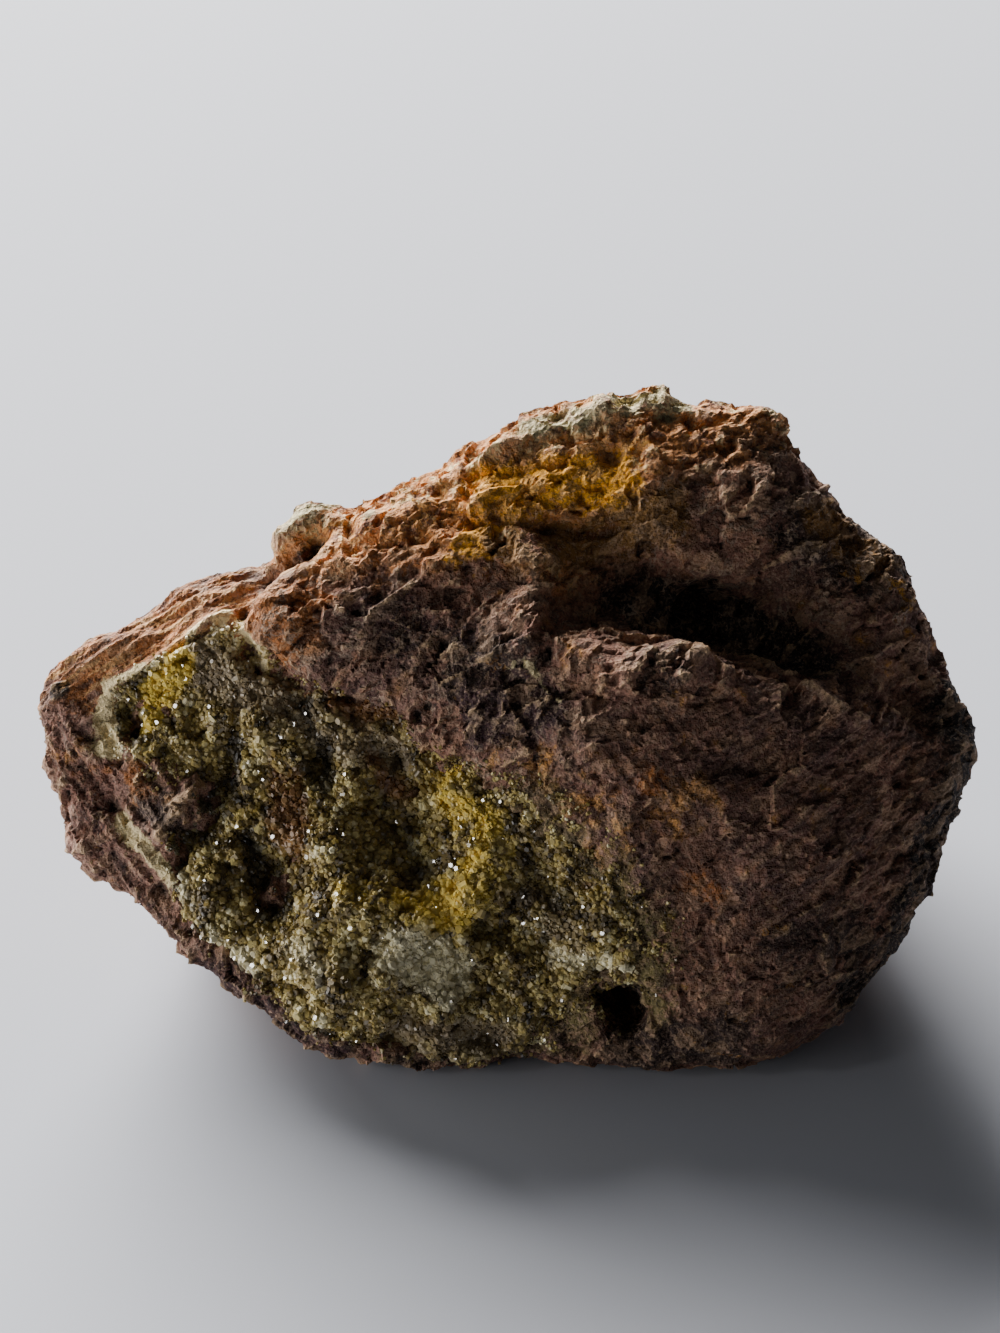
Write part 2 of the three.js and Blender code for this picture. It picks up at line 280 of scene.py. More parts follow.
def modified(mesh, kind, **settings):
    """A new mesh: what one of Blender's modifiers makes of a mesh."""
    holder = show("work", mesh)
    modifier = holder.modifiers.new(kind, kind)
    for name, value in settings.items():
        setattr(modifier, name, value)
    graph = bpy.context.evaluated_depsgraph_get()
    made = bpy.data.meshes.new_from_object(holder.evaluated_get(graph))
    bpy.data.objects.remove(holder)
    return made


def solid(node, swell=0):
    """The shape of a node of the frame, ready to edit and swollen by some millimetres."""
    form = bmesh.new()
    form.from_mesh(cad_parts[node].data)
    bmesh.ops.remove_doubles(form, verts=form.verts, dist=1e-6)
    for vertex in form.verts:
        vertex.co += vertex.normal * swell * MM
    return form


print("the crust's solid has", len(solid("pyromorphite_crust").verts), "corners")

# %% Wrap the two solids
VOXEL = 0.65  # the size of the skin's faces
SWELLS = {"matrix_rock": 0, "pyromorphite_crust": 0.45}  # the crust's swelling closes the gap

lump = bmesh.new()
for node, swell in SWELLS.items():
    lump.from_mesh(as_mesh(solid(node, swell), node))
skin = modified(as_mesh(lump, "skin"), "REMESH", mode="VOXEL", voxel_size=VOXEL * MM)
print("the first skin has", len(skin.vertices), "vertices")

# %% [markdown]
# ## The hole low in the front
#
# A piece broke out of the crust's lower edge and left a black hole with five corners. The frame has
# it too, but the remesh rounds it off. So it is cut again with a Boolean: two rings of corners, one
# in front of the stone and a smaller one deep in it, make a tapered cutter. Pulling vertices inwards
# would stretch the faces, and a second remesh makes them all even again.

# %% Cut the hole
HOLE = [(7.8, -25.6, 10.6), (13.7, -26.6, 11.9), (14.6, -28.0, 9.0), (13.2, -29.0, 6.2), (10.8, -29.0, 6.2)]
HOLE_RUN = np.array([-0.06, 0.84, -0.54])  # the way that the hole leads into the lump
HOLE_DEPTH = 8
HOLE_LEAD = 4  # how far in front of the stone the cutter starts
HOLE_SIZES = (1.35, 0.45)  # the cutter's sizes at its start and its end, as shares of the outline

outline = np.array(HOLE)
middle = outline.mean(axis=0)
outer = middle + HOLE_SIZES[0] * (outline - middle) - HOLE_LEAD * HOLE_RUN
inner = middle + HOLE_SIZES[1] * (outline - middle) + HOLE_DEPTH * HOLE_RUN
cut = bmesh.new()
nearer, farther = [[cut.verts.new(place * MM) for place in ring] for ring in (outer, inner)]
cut.faces.new(nearer)
cut.faces.new(farther[::-1])
for k in range(len(HOLE)):
    cut.faces.new((nearer[k], farther[k], farther[k - 1], nearer[k - 1]))
bmesh.ops.recalc_face_normals(cut, faces=cut.faces)
cutter = bpy.data.objects.new("cutter", as_mesh(cut, "cutter"))
skin = modified(skin, "BOOLEAN", object=cutter, operation="DIFFERENCE")
bpy.data.objects.remove(cutter)
skin = modified(skin, "REMESH", mode="VOXEL", voxel_size=VOXEL * MM)
skin = modified(skin, "SMOOTH", factor=0.5, iterations=5)
print("the skin has", len(skin.vertices), "vertices")

# %% [markdown]
# ## Where the crust ends
#
# The skin has to know which part of it is crust and which is bare rock. A mask could be painted, but
# the two solids already say it. Each vertex asks a search tree how far it is from both of them, and
# keeps the difference, which is above 0 where the crust is nearer. The subdivision afterwards
# spreads these numbers as smoothly as it spreads the places.

# %% Distance from the crust's edge
trees = {node: BVHTree.FromBMesh(solid(node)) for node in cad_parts}
to_rock = np.array([trees["matrix_rock"].find_nearest(v.co)[3] for v in skin.vertices]) / MM
to_crust = np.array([trees["pyromorphite_crust"].find_nearest(v.co)[3] for v in skin.vertices]) / MM
set_values(skin, "crust", to_rock - to_crust)
skin = modified(skin, "SUBSURF", levels=1, render_levels=1)
print("after subdivision:", len(skin.vertices), "vertices")

# %% [markdown]
# ## The faces of the stone
#
# Each face of the lump broke or weathered in its own way. The crest was eaten into pits and crumbs,
# the ledge at the left split along layers, the brow is lumpy, and the big front face broke almost
# smooth. A few points mark the middle of each face. Every vertex then belongs to the face whose
# points are nearest, with a soft and ragged border, and takes that face's own relief.

# %% Which face each vertex belongs to
FACES = {
    "ledge": [(-43, 2, 28), (-36, 5, 31.5), (-30, 8, 34), (-33, 12, 33)],
    "flank": [(-45, -4, 22), (-39, -11, 16), (-34, -17, 11), (-27, -23, 8), (-17, -27, 5)],
    "crest": [(-20, 12, 38), (-14, 9, 40), (-6, 12, 42), (2, 11, 43), (10, 14, 45), (20, 19, 48),
              (0, 20, 45)],
    "brow": [(-22, 2, 35), (-12, 0, 36), (-4, -2, 36), (0, -7, 33), (8, -7, 34), (15, -6, 35)],
    "shade": [(19, 8, 40), (29, 9, 40), (37, 8, 35), (26, 3, 33), (40, 3, 31)],
    "front": [(13, -14, 29), (22, -15, 28), (33, -12, 26), (20, -23, 18), (32, -20, 18), (42, -9, 21),
              (22, -28, 8), (10, -28, 6), (-2, -27, 4)],
    "back": [(-35, 16, 22), (-20, 22, 25), (0, 28, 30), (20, 28, 32), (38, 18, 26), (-20, 22, 10),
             (0, 30, 12), (25, 28, 12), (42, 8, 14), (0, 0, 0), (-25, 0, 2), (25, 0, 0)],
}
BORDER = 1.3  # the softness of the borders between the faces
LEDGE_RUN = np.array([0.85, 0.36, 0.39])  # the way that the ledge's layers run
FLANK_RUN = np.array([0.55, -0.62, -0.56])  # and the flank's torn rind
FRONT_RUNS = np.array([[0.53, -0.56, -0.64], [0.80, 0.58, 0.17]])  # and the front's lines, left and right


def stretched(points, run, times):
    """Points squeezed along a direction, so that noise at them is drawn out along it."""
    along = points @ run
    return points - np.outer(along * (1 - 1 / times), run)


def face_shares(points):
    """How much each face has of each point."""
    ragged = warped(points, 5, 1.6)
    far = {name: np.min([np.linalg.norm(ragged - p, axis=1) for p in middles], axis=0)
           for name, middles in FACES.items()}
    closest = np.min(list(far.values()), axis=0)
    share = {name: np.exp((closest - d) / BORDER) for name, d in far.items()}
    total = sum(share.values())
    return {name: s / total for name, s in share.items()}


places = points_of(skin)
facing = normals_of(skin)
faces = face_shares(places)
print("faces:", {name: int((share > 0.5).sum()) for name, share in faces.items()})

# %% [markdown]
# ## The forms of single places
#
# Some forms are large enough to be known one by one: the boulder over the ledge, the valley behind
# the brow, the knobs of the crest, the cavity and the gully in the crust. They could be pushed and
# pulled with sculpting brushes. As strokes they can be read, changed and made again exactly.

# %% The rock's own forms
FORMS = [  # path, width and height
    ([(-22, 11, 36.8), (-18.5, 13, 39)], 2.2, 1.3),  # the boulder over the ledge
    ([(-23.5, 7, 34.8), (-19, 9, 38)], 1.3, -2.0),  # the cleft under it
    ([(-13.5, 10.5, 40.8)], 1.7, 1.2),  # a second, smaller boulder
    ([(-16, 9, 39.8)], 0.9, -0.9),
    ([(10, 18.5, 48)], 1.9, 1.1),  # knobs of the crest
    ([(16, 20, 48)], 1.5, 1.0),
    ([(5, 17, 46.5)], 1.4, 0.8),
    ([(13, 19.5, 47.8)], 1.0, -1.2),
    ([(27.5, 20, 47.5)], 1.7, 0.8),
    ([(13, 3, 36), (18, 3, 34), (23, 3.5, 33)], 3.2, -2.0),  # the dark valley and its lower end
    ([(20, 2.5, 33.5), (26, 2, 32), (31, -1, 32)], 2.8, -2.4),
    ([(3.5, 3.5, 38.6), (3.2, 0.5, 37.2)], 2.0, 0.9),
    ([(-38, -2.3, 25.2)], 1.0, -1.6),  # holes in the pocket at the far left
    ([(-37.2, -4.2, 23.9)], 0.8, -1.4),
    ([(1.5, 1.5, 39)], 1.4, -0.8),
    ([(21, 1, 32.8), (24.5, -0.8, 31.6), (28, -3.8, 31.2), (32, -7.2, 30.4)], 0.9, 1.0),
    ([(18, -6, 35)], 2.4, 0.7),
    ([(44, -8, 23)], 4.0, 0.8),
    ([(44.2, 2, 28.5)], 1.3, -1.3),  # a notch in the right edge
    ([(-6, -3, 34.6)], 0.9, -1.3),  # a hole in the brow, with a chip beside it
    ([(-4.9, -3.4, 34.8)], 0.45, 0.6),
    ([(-26, 3.5, 33), (-25.5, 0.5, 31.5), (-25, -1.5, 29.5)], 0.8, -1.2),  # the nose's left side
    ([(-35.5, -8.5, 20.5), (-33, -10, 19.5)], 2.2, 1.4),  # the lobe and its hard edge
    ([(-29, -7, 22.2), (-31.5, -9.8, 19.9), (-34, -12.3, 17.6)], 0.8, 1.1),
    ([(-45.3, -0.5, 26.8)], 0.9, 1.6),  # a spur at the far left
    ([(-10, 12.5, 41.5), (-4, 14, 43.5), (2, 16.5, 45.5)], 0.9, 0.8),  # a pale ridge below the crest's top
    ([(-2.5, 8.3, 41.5), (4, 7.5, 41.2), (11, 6.8, 40.8)], 0.8, -1.1),  # a row of pits
    ([(-13, 6, 40.2), (-8, 6, 40.8)], 0.7, -0.8),
    ([(0, 12.5, 43.3), (7, 13.5, 44.5)], 0.6, -0.8),
    ([(-39.5, -0.5, 27), (-37, 0.2, 28.2), (-33.5, 1.5, 30.2), (-30.5, 2.6, 32), (-27, 3.6, 33.6)],
     0.6, 0.55),  # the thin rim along the ledge
]
print(len(FORMS), "strokes shape the rock")

# %% The crust's own forms
CRUST_FORMS = [
    ([(-11.5, -12, 20.5), (-8.5, -16.5, 18)], 3.2, -2.0),  # the cavity in the middle
    ([(-25, -12.5, 17), (-22.5, -18, 13.8)], 1.8, -2.2),  # the gully at its left
    ([(-19.5, -22, 12.5), (-17, -24.5, 10.5)], 2.2, 1.3),  # a pale bulge
    ([(-4, -10.5, 22.5), (-0.5, -14.5, 20.5), (-2.5, -19, 16)], 1.7, 1.1),  # a yellow ridge
    ([(-15.5, -19.5, 16), (-9, -21, 15)], 1.5, 0.9),  # the lip below the cavity
    ([(-2.5, -21.5, 14), (4, -22.5, 12.8)], 1.4, -1.8),  # small cavities low down
    ([(-7.5, -24, 11)], 0.8, -1.2),
    ([(-37.8, -2.3, 25.2), (-37, -3, 24.8)], 1.0, -2.6),  # black holes in the pocket at the far left
    ([(-37.2, -4.2, 23.9)], 0.8, -2.2),
    ([(-38, -5.3, 23), (-36, -5.6, 22.6)], 0.8, 0.9),  # a bright lump under them
    ([(1.0, -13, 22), (2.5, -14, 21.5), (3.5, -13.5, 22)], 0.5, -1.2),  # a crack
    ([(-26.5, -5.5, 23.5), (-28, -9.5, 20.5), (-32, -13.5, 16)], 1.3, -1.9),  # the drop under the lobe
    ([(-19.5, -3, 27), (-18, -6, 24.5), (-17.5, -9, 22)], 1.3, -1.3),  # a dark gap under the brow
    ([(-27, -2, 27.5), (-23, -7, 23.5)], 2.0, 0.7),
    ([(-13, -4, 26.5), (-8, -6.5, 24.5)], 1.6, -0.9),
    ([(-38.7, -0.5, 27), (-34, 1.2, 29.7), (-29, 2.4, 32)], 0.7, 0.7),  # the edge along the ledge
]
print(len(CRUST_FORMS), "strokes shape the crust")

# %% [markdown]
# ## The crust's ragged edge
#
# On the real stone the crust thins out in tongues and islands, and at its right it fades into dust
# on the rock. The edge of its solid is a clean line. So noise is added to the distance from it,
# more at the right, and a few strokes spread the crust a little further.

# %% How deep in the crust a place is
REACH = [  # where the crust spreads past the edge of its solid
    ([(-38.5, -1, 26.5), (-34, 0.6, 29), (-30.5, 1.6, 31), (-27, 2.2, 32.5)], 1.2, 1.6),
    ([(-38.5, -3.5, 24.5), (-39, -5, 22.8)], 1.6, 1.6),
    ([(-18, -26.5, 7.5), (-8, -28, 4.5), (1, -28, 4)], 2.2, 2.0),
]


def depth_in_crust(points, crust):
    """How far inside the crust's ragged edge each point is. The edge is vaguer at its right."""
    vague = 0.7 + 1.6 * smooth(points[:, 0], -2, 6)
    edge = vague * noise(points, 3.2, seed=40) + 0.6 * vague * noise(points, 1.3, seed=41)
    return crust + edge + strokes(points, REACH)


depth = depth_in_crust(places, values_of(skin, "crust"))
hidden = smooth(depth, 0.1, 1.3)
print("hidden under the crust:", int((hidden > 0.5).sum()), "vertices")

# %% [markdown]
# ## Relief
#
# Each face is a mixture of a few kinds of broken surface: blocks, chips, crumbs, soft lumps, sharp
# ridges, round holes, and the drawn-out lines of layers and of torn rind. Displace modifiers with
# painted weights could do this. A table that says how many millimetres of each kind a face has is
# shorter, easier to tune, and blends by itself at the borders between the faces.

# %% Kinds of broken surface
rightness = smooth(places[:, 0], 16, 26)  # 0 at the front's left and 1 at its right
left_lines = layered(stretched(places, FRONT_RUNS[0], 5), 0.9, 2, seed=21)
right_lines = layered(stretched(places, FRONT_RUNS[1], 5), 0.9, 2, seed=23)
_, from_middle, number = grains(warped(places, 2, 0.6, seed=31), 3.0, seed=32)
kinds = {
    "blocks": chips(warped(places, 4, 1.0, seed=37), 5.5, seed=38),
    "chips": chips(warped(stretched(places, LEDGE_RUN, 2.2), 3, 0.7, seed=33), 2.4, seed=34),
    "crumbs": chips(warped(stretched(places, LEDGE_RUN, 1.6), 1.5, 0.4, seed=35), 1.2, seed=36),
    "lumps": layered(places, 6.5, 3, seed=2),
    "ridges": folded(places, 3.1, 4, seed=9, fall=0.62) - 0.7,
    "holes": smooth(0.46 - from_middle, 0, 0.25) * (number % 3 > 0),
    "layers": layered(stretched(places, LEDGE_RUN, 7), 1.3, 3, seed=14),
    "rind": layered(stretched(places, FLANK_RUN, 6), 1.2, 3, seed=17),
    "lines": left_lines * (1 - rightness) + right_lines * rightness,
}
for kind, heights in kinds.items():
    print(kind, "from", heights.min().round(2), "to", heights.max().round(2))

# %% The relief of each face
RELIEF = {  # how many millimetres each face has of each kind
    "ledge": {"layers": 0.5, "blocks": 0.2, "crumbs": 0.14, "lumps": 0.2},
    "flank": {"rind": 0.5, "blocks": 0.7, "chips": 0.5, "crumbs": 0.22},
    "crest": {"blocks": 0.7, "chips": 0.5, "crumbs": 0.2, "ridges": 0.7, "holes": -0.6},
    "brow": {"blocks": 0.6, "chips": 0.6, "crumbs": 0.32, "lumps": 0.4, "holes": -0.4},
    "shade": {"blocks": 0.6, "chips": 0.5, "crumbs": 0.25, "lumps": 0.5},
    "front": {"blocks": 0.5, "lines": 0.18, "chips": 0.3, "crumbs": 0.3, "lumps": 0.3},
    "back": {"blocks": 0.9, "chips": 0.5, "crumbs": 0.25, "lumps": 0.9, "holes": -0.6},
}
GRIT = 0.07

relief = GRIT * layered(places, 0.8, 2, seed=20)
for face, mixture in RELIEF.items():
    relief += faces[face] * sum(height * kinds[kind] for kind, height in mixture.items())
print("relief from", relief.min().round(2), "to", relief.max().round(2), "mm")

# %% Move the rock's skin
SUNK = 1.5  # how far the rock lies under the crust's skin
SIDEWAYS = 0.2  # how far the crest's crumbs are pushed sideways, where no crust hides them

raised = strokes(places, FORMS) + relief
under = strokes(places, CRUST_FORMS) - SUNK
height = raised * (1 - hidden) + under * hidden
push = SIDEWAYS * (warped(places, 1.7, 1, seed=30) - places) * faces["crest"][:, None]
rock_points = places + facing * height[:, None] + push * (hidden == 0)[:, None]
rock_points[:, 2] = np.maximum(rock_points[:, 2], 0)
rock_skin = skin.copy()
move_to(rock_skin, rock_points)
print("the rock's skin has", triangles(rock_skin), "triangles")

# %% [markdown]
# ## What the rock's skin knows
#
# Pits and hollows get painted shade, and ridges and swells painted highlights. A shader can't see whether a
# place is high or
# low, so the mesh tells it: every vertex keeps how far it stands above the average of its
# neighbours, near ones for small ridges and far ones for broad swells. It also keeps its share of
# each face. The same could be baked to an image, but numbers on vertices need no unwrapping.

# %% Ridges, swells and faces as stored numbers
def averaged(mesh, values, times):
    """Values that are averaged with their neighbours along the edges of a mesh, several times."""
    ends = read(mesh.edges, "vertices", 2, np.int32)
    one, other = ends.T
    count = np.bincount(ends.ravel(), minlength=len(values)) + 1
    for _ in range(times):
        total = np.bincount(one, values[other], len(values))
        total += np.bincount(other, values[one], len(values))
        values = (values + total) / count
    return values


known = {
    "ridge": raised - averaged(skin, raised, 10),
    "swell": averaged(skin, raised, 6) - averaged(skin, raised, 60),
    "brow": faces["brow"] + faces["shade"],
    "left_front": faces["front"] * (1 - rightness),
    "right_front": faces["front"] * rightness,
}
known.update({face: faces[face] for face in ("crest", "flank", "ledge", "back")})
for name, values in known.items():
    set_values(rock_skin, name, values)
print("each vertex of the rock knows", sorted(known))

# %% [markdown]
# ## The crust's skin
#
# The crust is a layer of its own on the rock. Its skin is the part of the one skin that lies over
# the hollow, taken out as a second mesh, so it can have more detail than the rock. At its edge it
# dives under the rock, and the rock dives under it, so that no seam shows. It is grainy all over,
# because it is made of crystals that grew into each other, with gaps and small holes between them.

# %% The crust's own mesh
EDGE = -1.2  # the skin reaches this far past the crust's edge


def part_of(mesh, keep, name):
    """A new mesh of the faces whose vertices are all kept."""
    form = bmesh.new()
    form.from_mesh(mesh)
    form.verts.ensure_lookup_table()
    gone = [form.verts[i] for i in np.flatnonzero(~keep)]
    bmesh.ops.delete(form, geom=gone, context="VERTS")
    return as_mesh(form, name)


crust_top = part_of(skin, depth > EDGE, "crust_top")
spots = points_of(crust_top)
depth_in = depth_in_crust(spots, values_of(crust_top, "crust"))
print("the top of the crust has", triangles(crust_top), "triangles")

# %% Its grain, pits and forms
EDGE_DIP = 1.0  # how far the skin's edge dives under the rock
LIFT = 0.15  # how far the rest stands above the solid
CRUST_DEPTH = 1.0

_, coarse, _ = grains(warped(spots, 2, 0.3, seed=50), 1.7, seed=51)
_, fine, _ = grains(warped(spots, 1, 0.2, seed=52), 0.75, seed=53)
_, pit, number = grains(warped(spots, 1.5, 0.4, seed=55), 2.4, seed=56)
pitted = smooth(0.42 - pit, 0, 0.25) * (number % 5 < 2)
swell = 0.4 * (0.5 - coarse) + 0.3 * (0.5 - fine) - 1.1 * pitted
swell += 0.9 * layered(spots, 4.6, 4, seed=54) + 0.5 * chips(warped(spots, 2, 0.5, seed=57), 2.6, seed=58)
inside = smooth(depth_in, -0.9, 0.5)
height = inside * (swell + strokes(spots, CRUST_FORMS) + LIFT) - EDGE_DIP * (1 - inside)
grown = spots + normals_of(crust_top) * height[:, None]
grown[:, 2] = np.maximum(grown[:, 2], 0.2)
move_to(crust_top, grown)
crust_skin = modified(crust_top.copy(), "SOLIDIFY", thickness=CRUST_DEPTH * MM, offset=-1)
print("crust skin:", triangles(crust_skin), "triangles")

# %% [markdown]
# ## Thousands of crystals
#
# Each grain of the crust is a small six-sided column with a bevelled end. They could be instances
# of one crystal, but then all would be alike, and an export may lose them. So one mesh is built
# from rings of six corners, thousands at a time: numpy turns, leans and stretches each column, and
# Blender gets them as plain vertices and faces.

# %% Random places on a mesh
def scatter(mesh, count, weights):
    """Random places on a mesh, more where the weights are high, and the way that each faces."""
    mesh.calc_loop_triangles()
    corners = read(mesh.loop_triangles, "vertices", 3, np.int32)
    a, b, c = (points_of(mesh)[corners[:, k]] for k in range(3))
    up = np.cross(b - a, c - a)
    area = np.linalg.norm(up, axis=1)
    chance = area * weights[corners].mean(axis=1)
    chosen = dice.choice(len(corners), count, p=chance / chance.sum())
    share = dice.dirichlet((1, 1, 1), count)
    spots = sum(corner[chosen] * share[:, k, None] for k, corner in enumerate((a, b, c)))
    return spots, up[chosen] / area[chosen, None]


weights = smooth(depth_in, -0.2, 0.5)
print("crystals may stand on", int((weights > 0.5).sum()), "vertices")

# %% Columns of six sides
SIDES = 6


def unit(vectors):
    """Directions that are all 1 long."""
    return vectors / np.linalg.norm(vectors, axis=1)[:, None]


def columns(name, feet, axes, radii, heights, rings):
    """One mesh of many columns, each with rings of corners at shares of its height."""
    count = len(feet)
    side = unit(np.cross(axes, dice.normal(size=(count, 3))))
    other = np.cross(axes, side)
    angles = np.arange(SIDES)[None, :, None] * tau / SIDES
    wide = dice.uniform(0.8, 1.15, (count, SIDES, 1)) * radii[:, None, None]
    ring = np.cos(angles) * side[:, None] + np.sin(angles) * other[:, None]
    levels = [feet[:, None] + axes[:, None] * (heights * up)[:, None, None] + ring * wide * out
              for up, out in rings]
    points = np.concatenate(levels, axis=1)
    corners = SIDES * len(rings)
    faces = [list(range(SIDES))[::-1]]
    for low in range(0, corners - SIDES, SIDES):
        high = low + SIDES
        faces += [[low + k, low + (k + 1) % SIDES, high + (k + 1) % SIDES, high + k] for k in range(SIDES)]
    faces.append(list(range(corners - SIDES, corners)))
    loops = np.concatenate(faces)[None] + corners * np.arange(count)[:, None]
    lengths = np.tile([len(face) for face in faces], count)
    mesh = bpy.data.meshes.new(name)
    mesh.vertices.add(corners * count)
    mesh.vertices.foreach_set("co", (points * MM).ravel())
    mesh.loops.add(loops.size)
    mesh.loops.foreach_set("vertex_index", loops.ravel().astype(np.int32))
    mesh.polygons.add(len(lengths))
    mesh.polygons.foreach_set("loop_start", (np.cumsum(lengths) - lengths).astype(np.int32))
    mesh.update(calc_edges=True)
    mesh.shade_flat()
    return mesh


print("the lengths of three directions:", np.linalg.norm(unit(np.eye(3) * 5), axis=1))

# %% [markdown]
# ## The crust's stains
#
# The crystals aren't one colour. The purest are yellow, most are olive, and weathering, iron and
# dust make them grey, brown or pale. In the cavity, the gully, the gaps and the holes they are
# painted nearly black, as painted shade. A texture could be painted, but each crystal should have
# one colour all over. So the stains are strokes, read at the foot of each crystal, and all of the
# crystal's vertices keep that number.

# %% The stains of the crust
CRUST_STAINS = {  # path, width and strength
    "yellow": [
        ([(-36, -3, 24.5), (-34.6, -1, 26.8), (-32, 0.5, 29)], 1.8, 1.4),
        ([(-4.5, -10.5, 22.6), (-1, -14, 20.8), (-2.5, -18.5, 16.5), (-5, -20, 15)], 2.4, 1.15),
        ([(-15, -19.5, 16), (-8, -20, 15.5)], 2.2, 0.8), ([(-26, -11, 19), (-21, -8, 21)], 3.0, 0.35),
    ],
    "pale": [
        ([(-19.5, -22.5, 12), (-17, -24.5, 10.5)], 2.4, 0.8),
        ([(-10, -23.2, 12.2), (-5.5, -24.3, 11.2)], 2.8, 1.5),
        ([(-33.5, -14, 15.5), (-28, -19.5, 12), (-24, -23, 10)], 1.0, 1.1),
        ([(-38.9, -0.3, 27), (-36.8, 0.5, 28.2), (-33.3, 1.7, 30.2), (-27, 3.4, 33.4)], 0.55, 2.0),
        ([(-38.6, -5.3, 23), (-36, -5.6, 22.6)], 1.0, 1.8),
        ([(-39.3, -2, 26), (-39.5, -5, 23.2)], 0.9, 1.6), ([(7, -24, 12.5), (13, -25.5, 12.8)], 0.7, 1.0),
        ([(5.5, -23.5, 12), (9.5, -24, 13)], 1.4, 0.7), ([(-15, -24.5, 9)], 2.5, 0.5),
    ],
    "grey": [
        ([(-30, 0.3, 29.5), (-27, -1, 28), (-20, -4, 25.5), (-11, -6.5, 23.5)], 3.6, 0.9),
        ([(3, -19, 16), (8, -23, 13)], 2.5, 0.7), ([(-10, -27, 6), (0, -27.5, 5)], 3.0, 0.8),
    ],
    "brown": [
        ([(-16, -3.5, 27), (-9, -4, 27)], 2.4, 0.9), ([(-22, -7, 23), (-20, -15, 18)], 2.6, 0.7),
        ([(-13, -8, 22.5), (-10, -10, 21.5)], 2.0, 0.8), ([(0, -17.5, 16.5)], 1.0, 0.8),
        ([(-22, -11, 19.5)], 2.0, 0.5), ([(8, -19, 18), (3, -12.5, 23)], 1.6, 0.5),
    ],
    # painted shade: the crust is painted nearly black in the cavity, the gully, the gap under the brow,
    # small cavities, the drop under the lobe, the holes and a patch at the right
    "dark": [
        ([(-10.5, -13, 20), (-8, -17.5, 17.3)], 2.2, 0.7),
        ([(-25, -12.5, 17), (-22.5, -18.5, 13.6)], 1.7, 1.4),
        ([(-19.5, -3, 27), (-18, -6, 24.5), (-17.5, -9, 22)], 1.3, 1.0),
        ([(2, -18, 17), (6, -20, 16)], 3.0, 0.6), ([(-2.5, -21.5, 14), (4, -22.5, 12.8)], 1.5, 0.8),
        ([(-26.5, -5.5, 23.5), (-28, -9.5, 20.5), (-32, -13.5, 16)], 1.5, 1.2),
        ([(-37.8, -2.3, 25.2), (-37, -3, 24.8)], 1.0, 2.0), ([(-37.2, -4.2, 23.9)], 0.8, 1.8),
    ],
}


def stain_crust(mesh, spots, repeats=1):
    """Stores how strong each stain of the crust is at each vertex of a mesh."""
    ragged = warped(spots, 2.2, 0.9, seed=70)
    for stain, drawn in CRUST_STAINS.items():
        set_values(mesh, stain, np.repeat(strokes(ragged, drawn), repeats))


print(len(CRUST_STAINS), "kinds of stain lie on the crust")

# %% [markdown]
# ## Growing the crystals
#
# Most crystals lean at random, and their sizes change from patch to patch. A few dozen of the large
# ones catch the light and glint. Among crystals turned by chance almost none would mirror a lamp
# into the camera, so these are turned on purpose: a face does so when it looks half way between the
# two. Emission could fake the sparks, but they would shine from every side.

# %% One kind of crystal
MIRROR_HOLD = 8  # how firmly a mirroring crystal keeps its direction


def grow(name, ground, count, weights, radii, rings, lean, length, toward=None):
    """A mesh of columns that grow on the ground, or stand so that they mirror a light to the camera."""
    spots, up = scatter(ground, count, weights)
    if toward is not None:
        to_camera = unit(LOOKED_AT + backwards * CAMERA_DISTANCE - spots)
        up = MIRROR_HOLD * unit(to_camera + unit(toward - spots))
    axes = unit(up + lean * dice.normal(size=(count, 3)))
    patchy = 1 + 0.4 * noise(spots, 2.6, seed=80)
    radius = dice.uniform(*radii, count) * patchy
    height = radius * dice.uniform(*length, count)
    mesh = columns(name, spots - axes * (height * 0.5)[:, None], axes, radius, height, rings)
    corners = SIDES * len(rings)
    stain_crust(mesh, spots, corners)
    chance = 0.5 + 0.4 * noise(spots, 2.4, seed=81) + 0.45 * noise(spots, 1.1, seed=82)
    chance += dice.normal(0, 0.12, count)
    set_values(mesh, "chance", np.repeat(np.clip(chance, 0, 1), corners))
    dull = dice.random(count) * (toward is None)  # a mirror isn't dull
    set_values(mesh, "dull", np.repeat(dull, corners))
    print(count, name, "have grown")
    return mesh


BEVELLED = [(0, 0.9), (0.82, 1.0), (1, 0.72)]  # rings: share of the height, share of the radius
PLAIN = [(0, 0.9), (1, 0.95)]
print("a bevelled crystal has", len(BEVELLED), "rings of corners")

# %% The crystals that spilled over the edge
clumps = smooth(noise(places, 1.4, seed=90), -0.2, 0.5)
right_side = smooth(places[:, 0], -8, 4)
reach = 2.5 + 3.5 * right_side  # further at the right, in millimetres
spill = smooth(depth / reach, -1, 0.2) ** 2 * clumps * (depth < 0.3)
spill *= rock_points[:, 2] > 1  # none at the foot, where they would sink into the floor
crystals = [grow("spilled_crystals", rock_skin, 3000, spill, (0.09, 0.2), PLAIN, 0.5, (1.2, 2.4))]

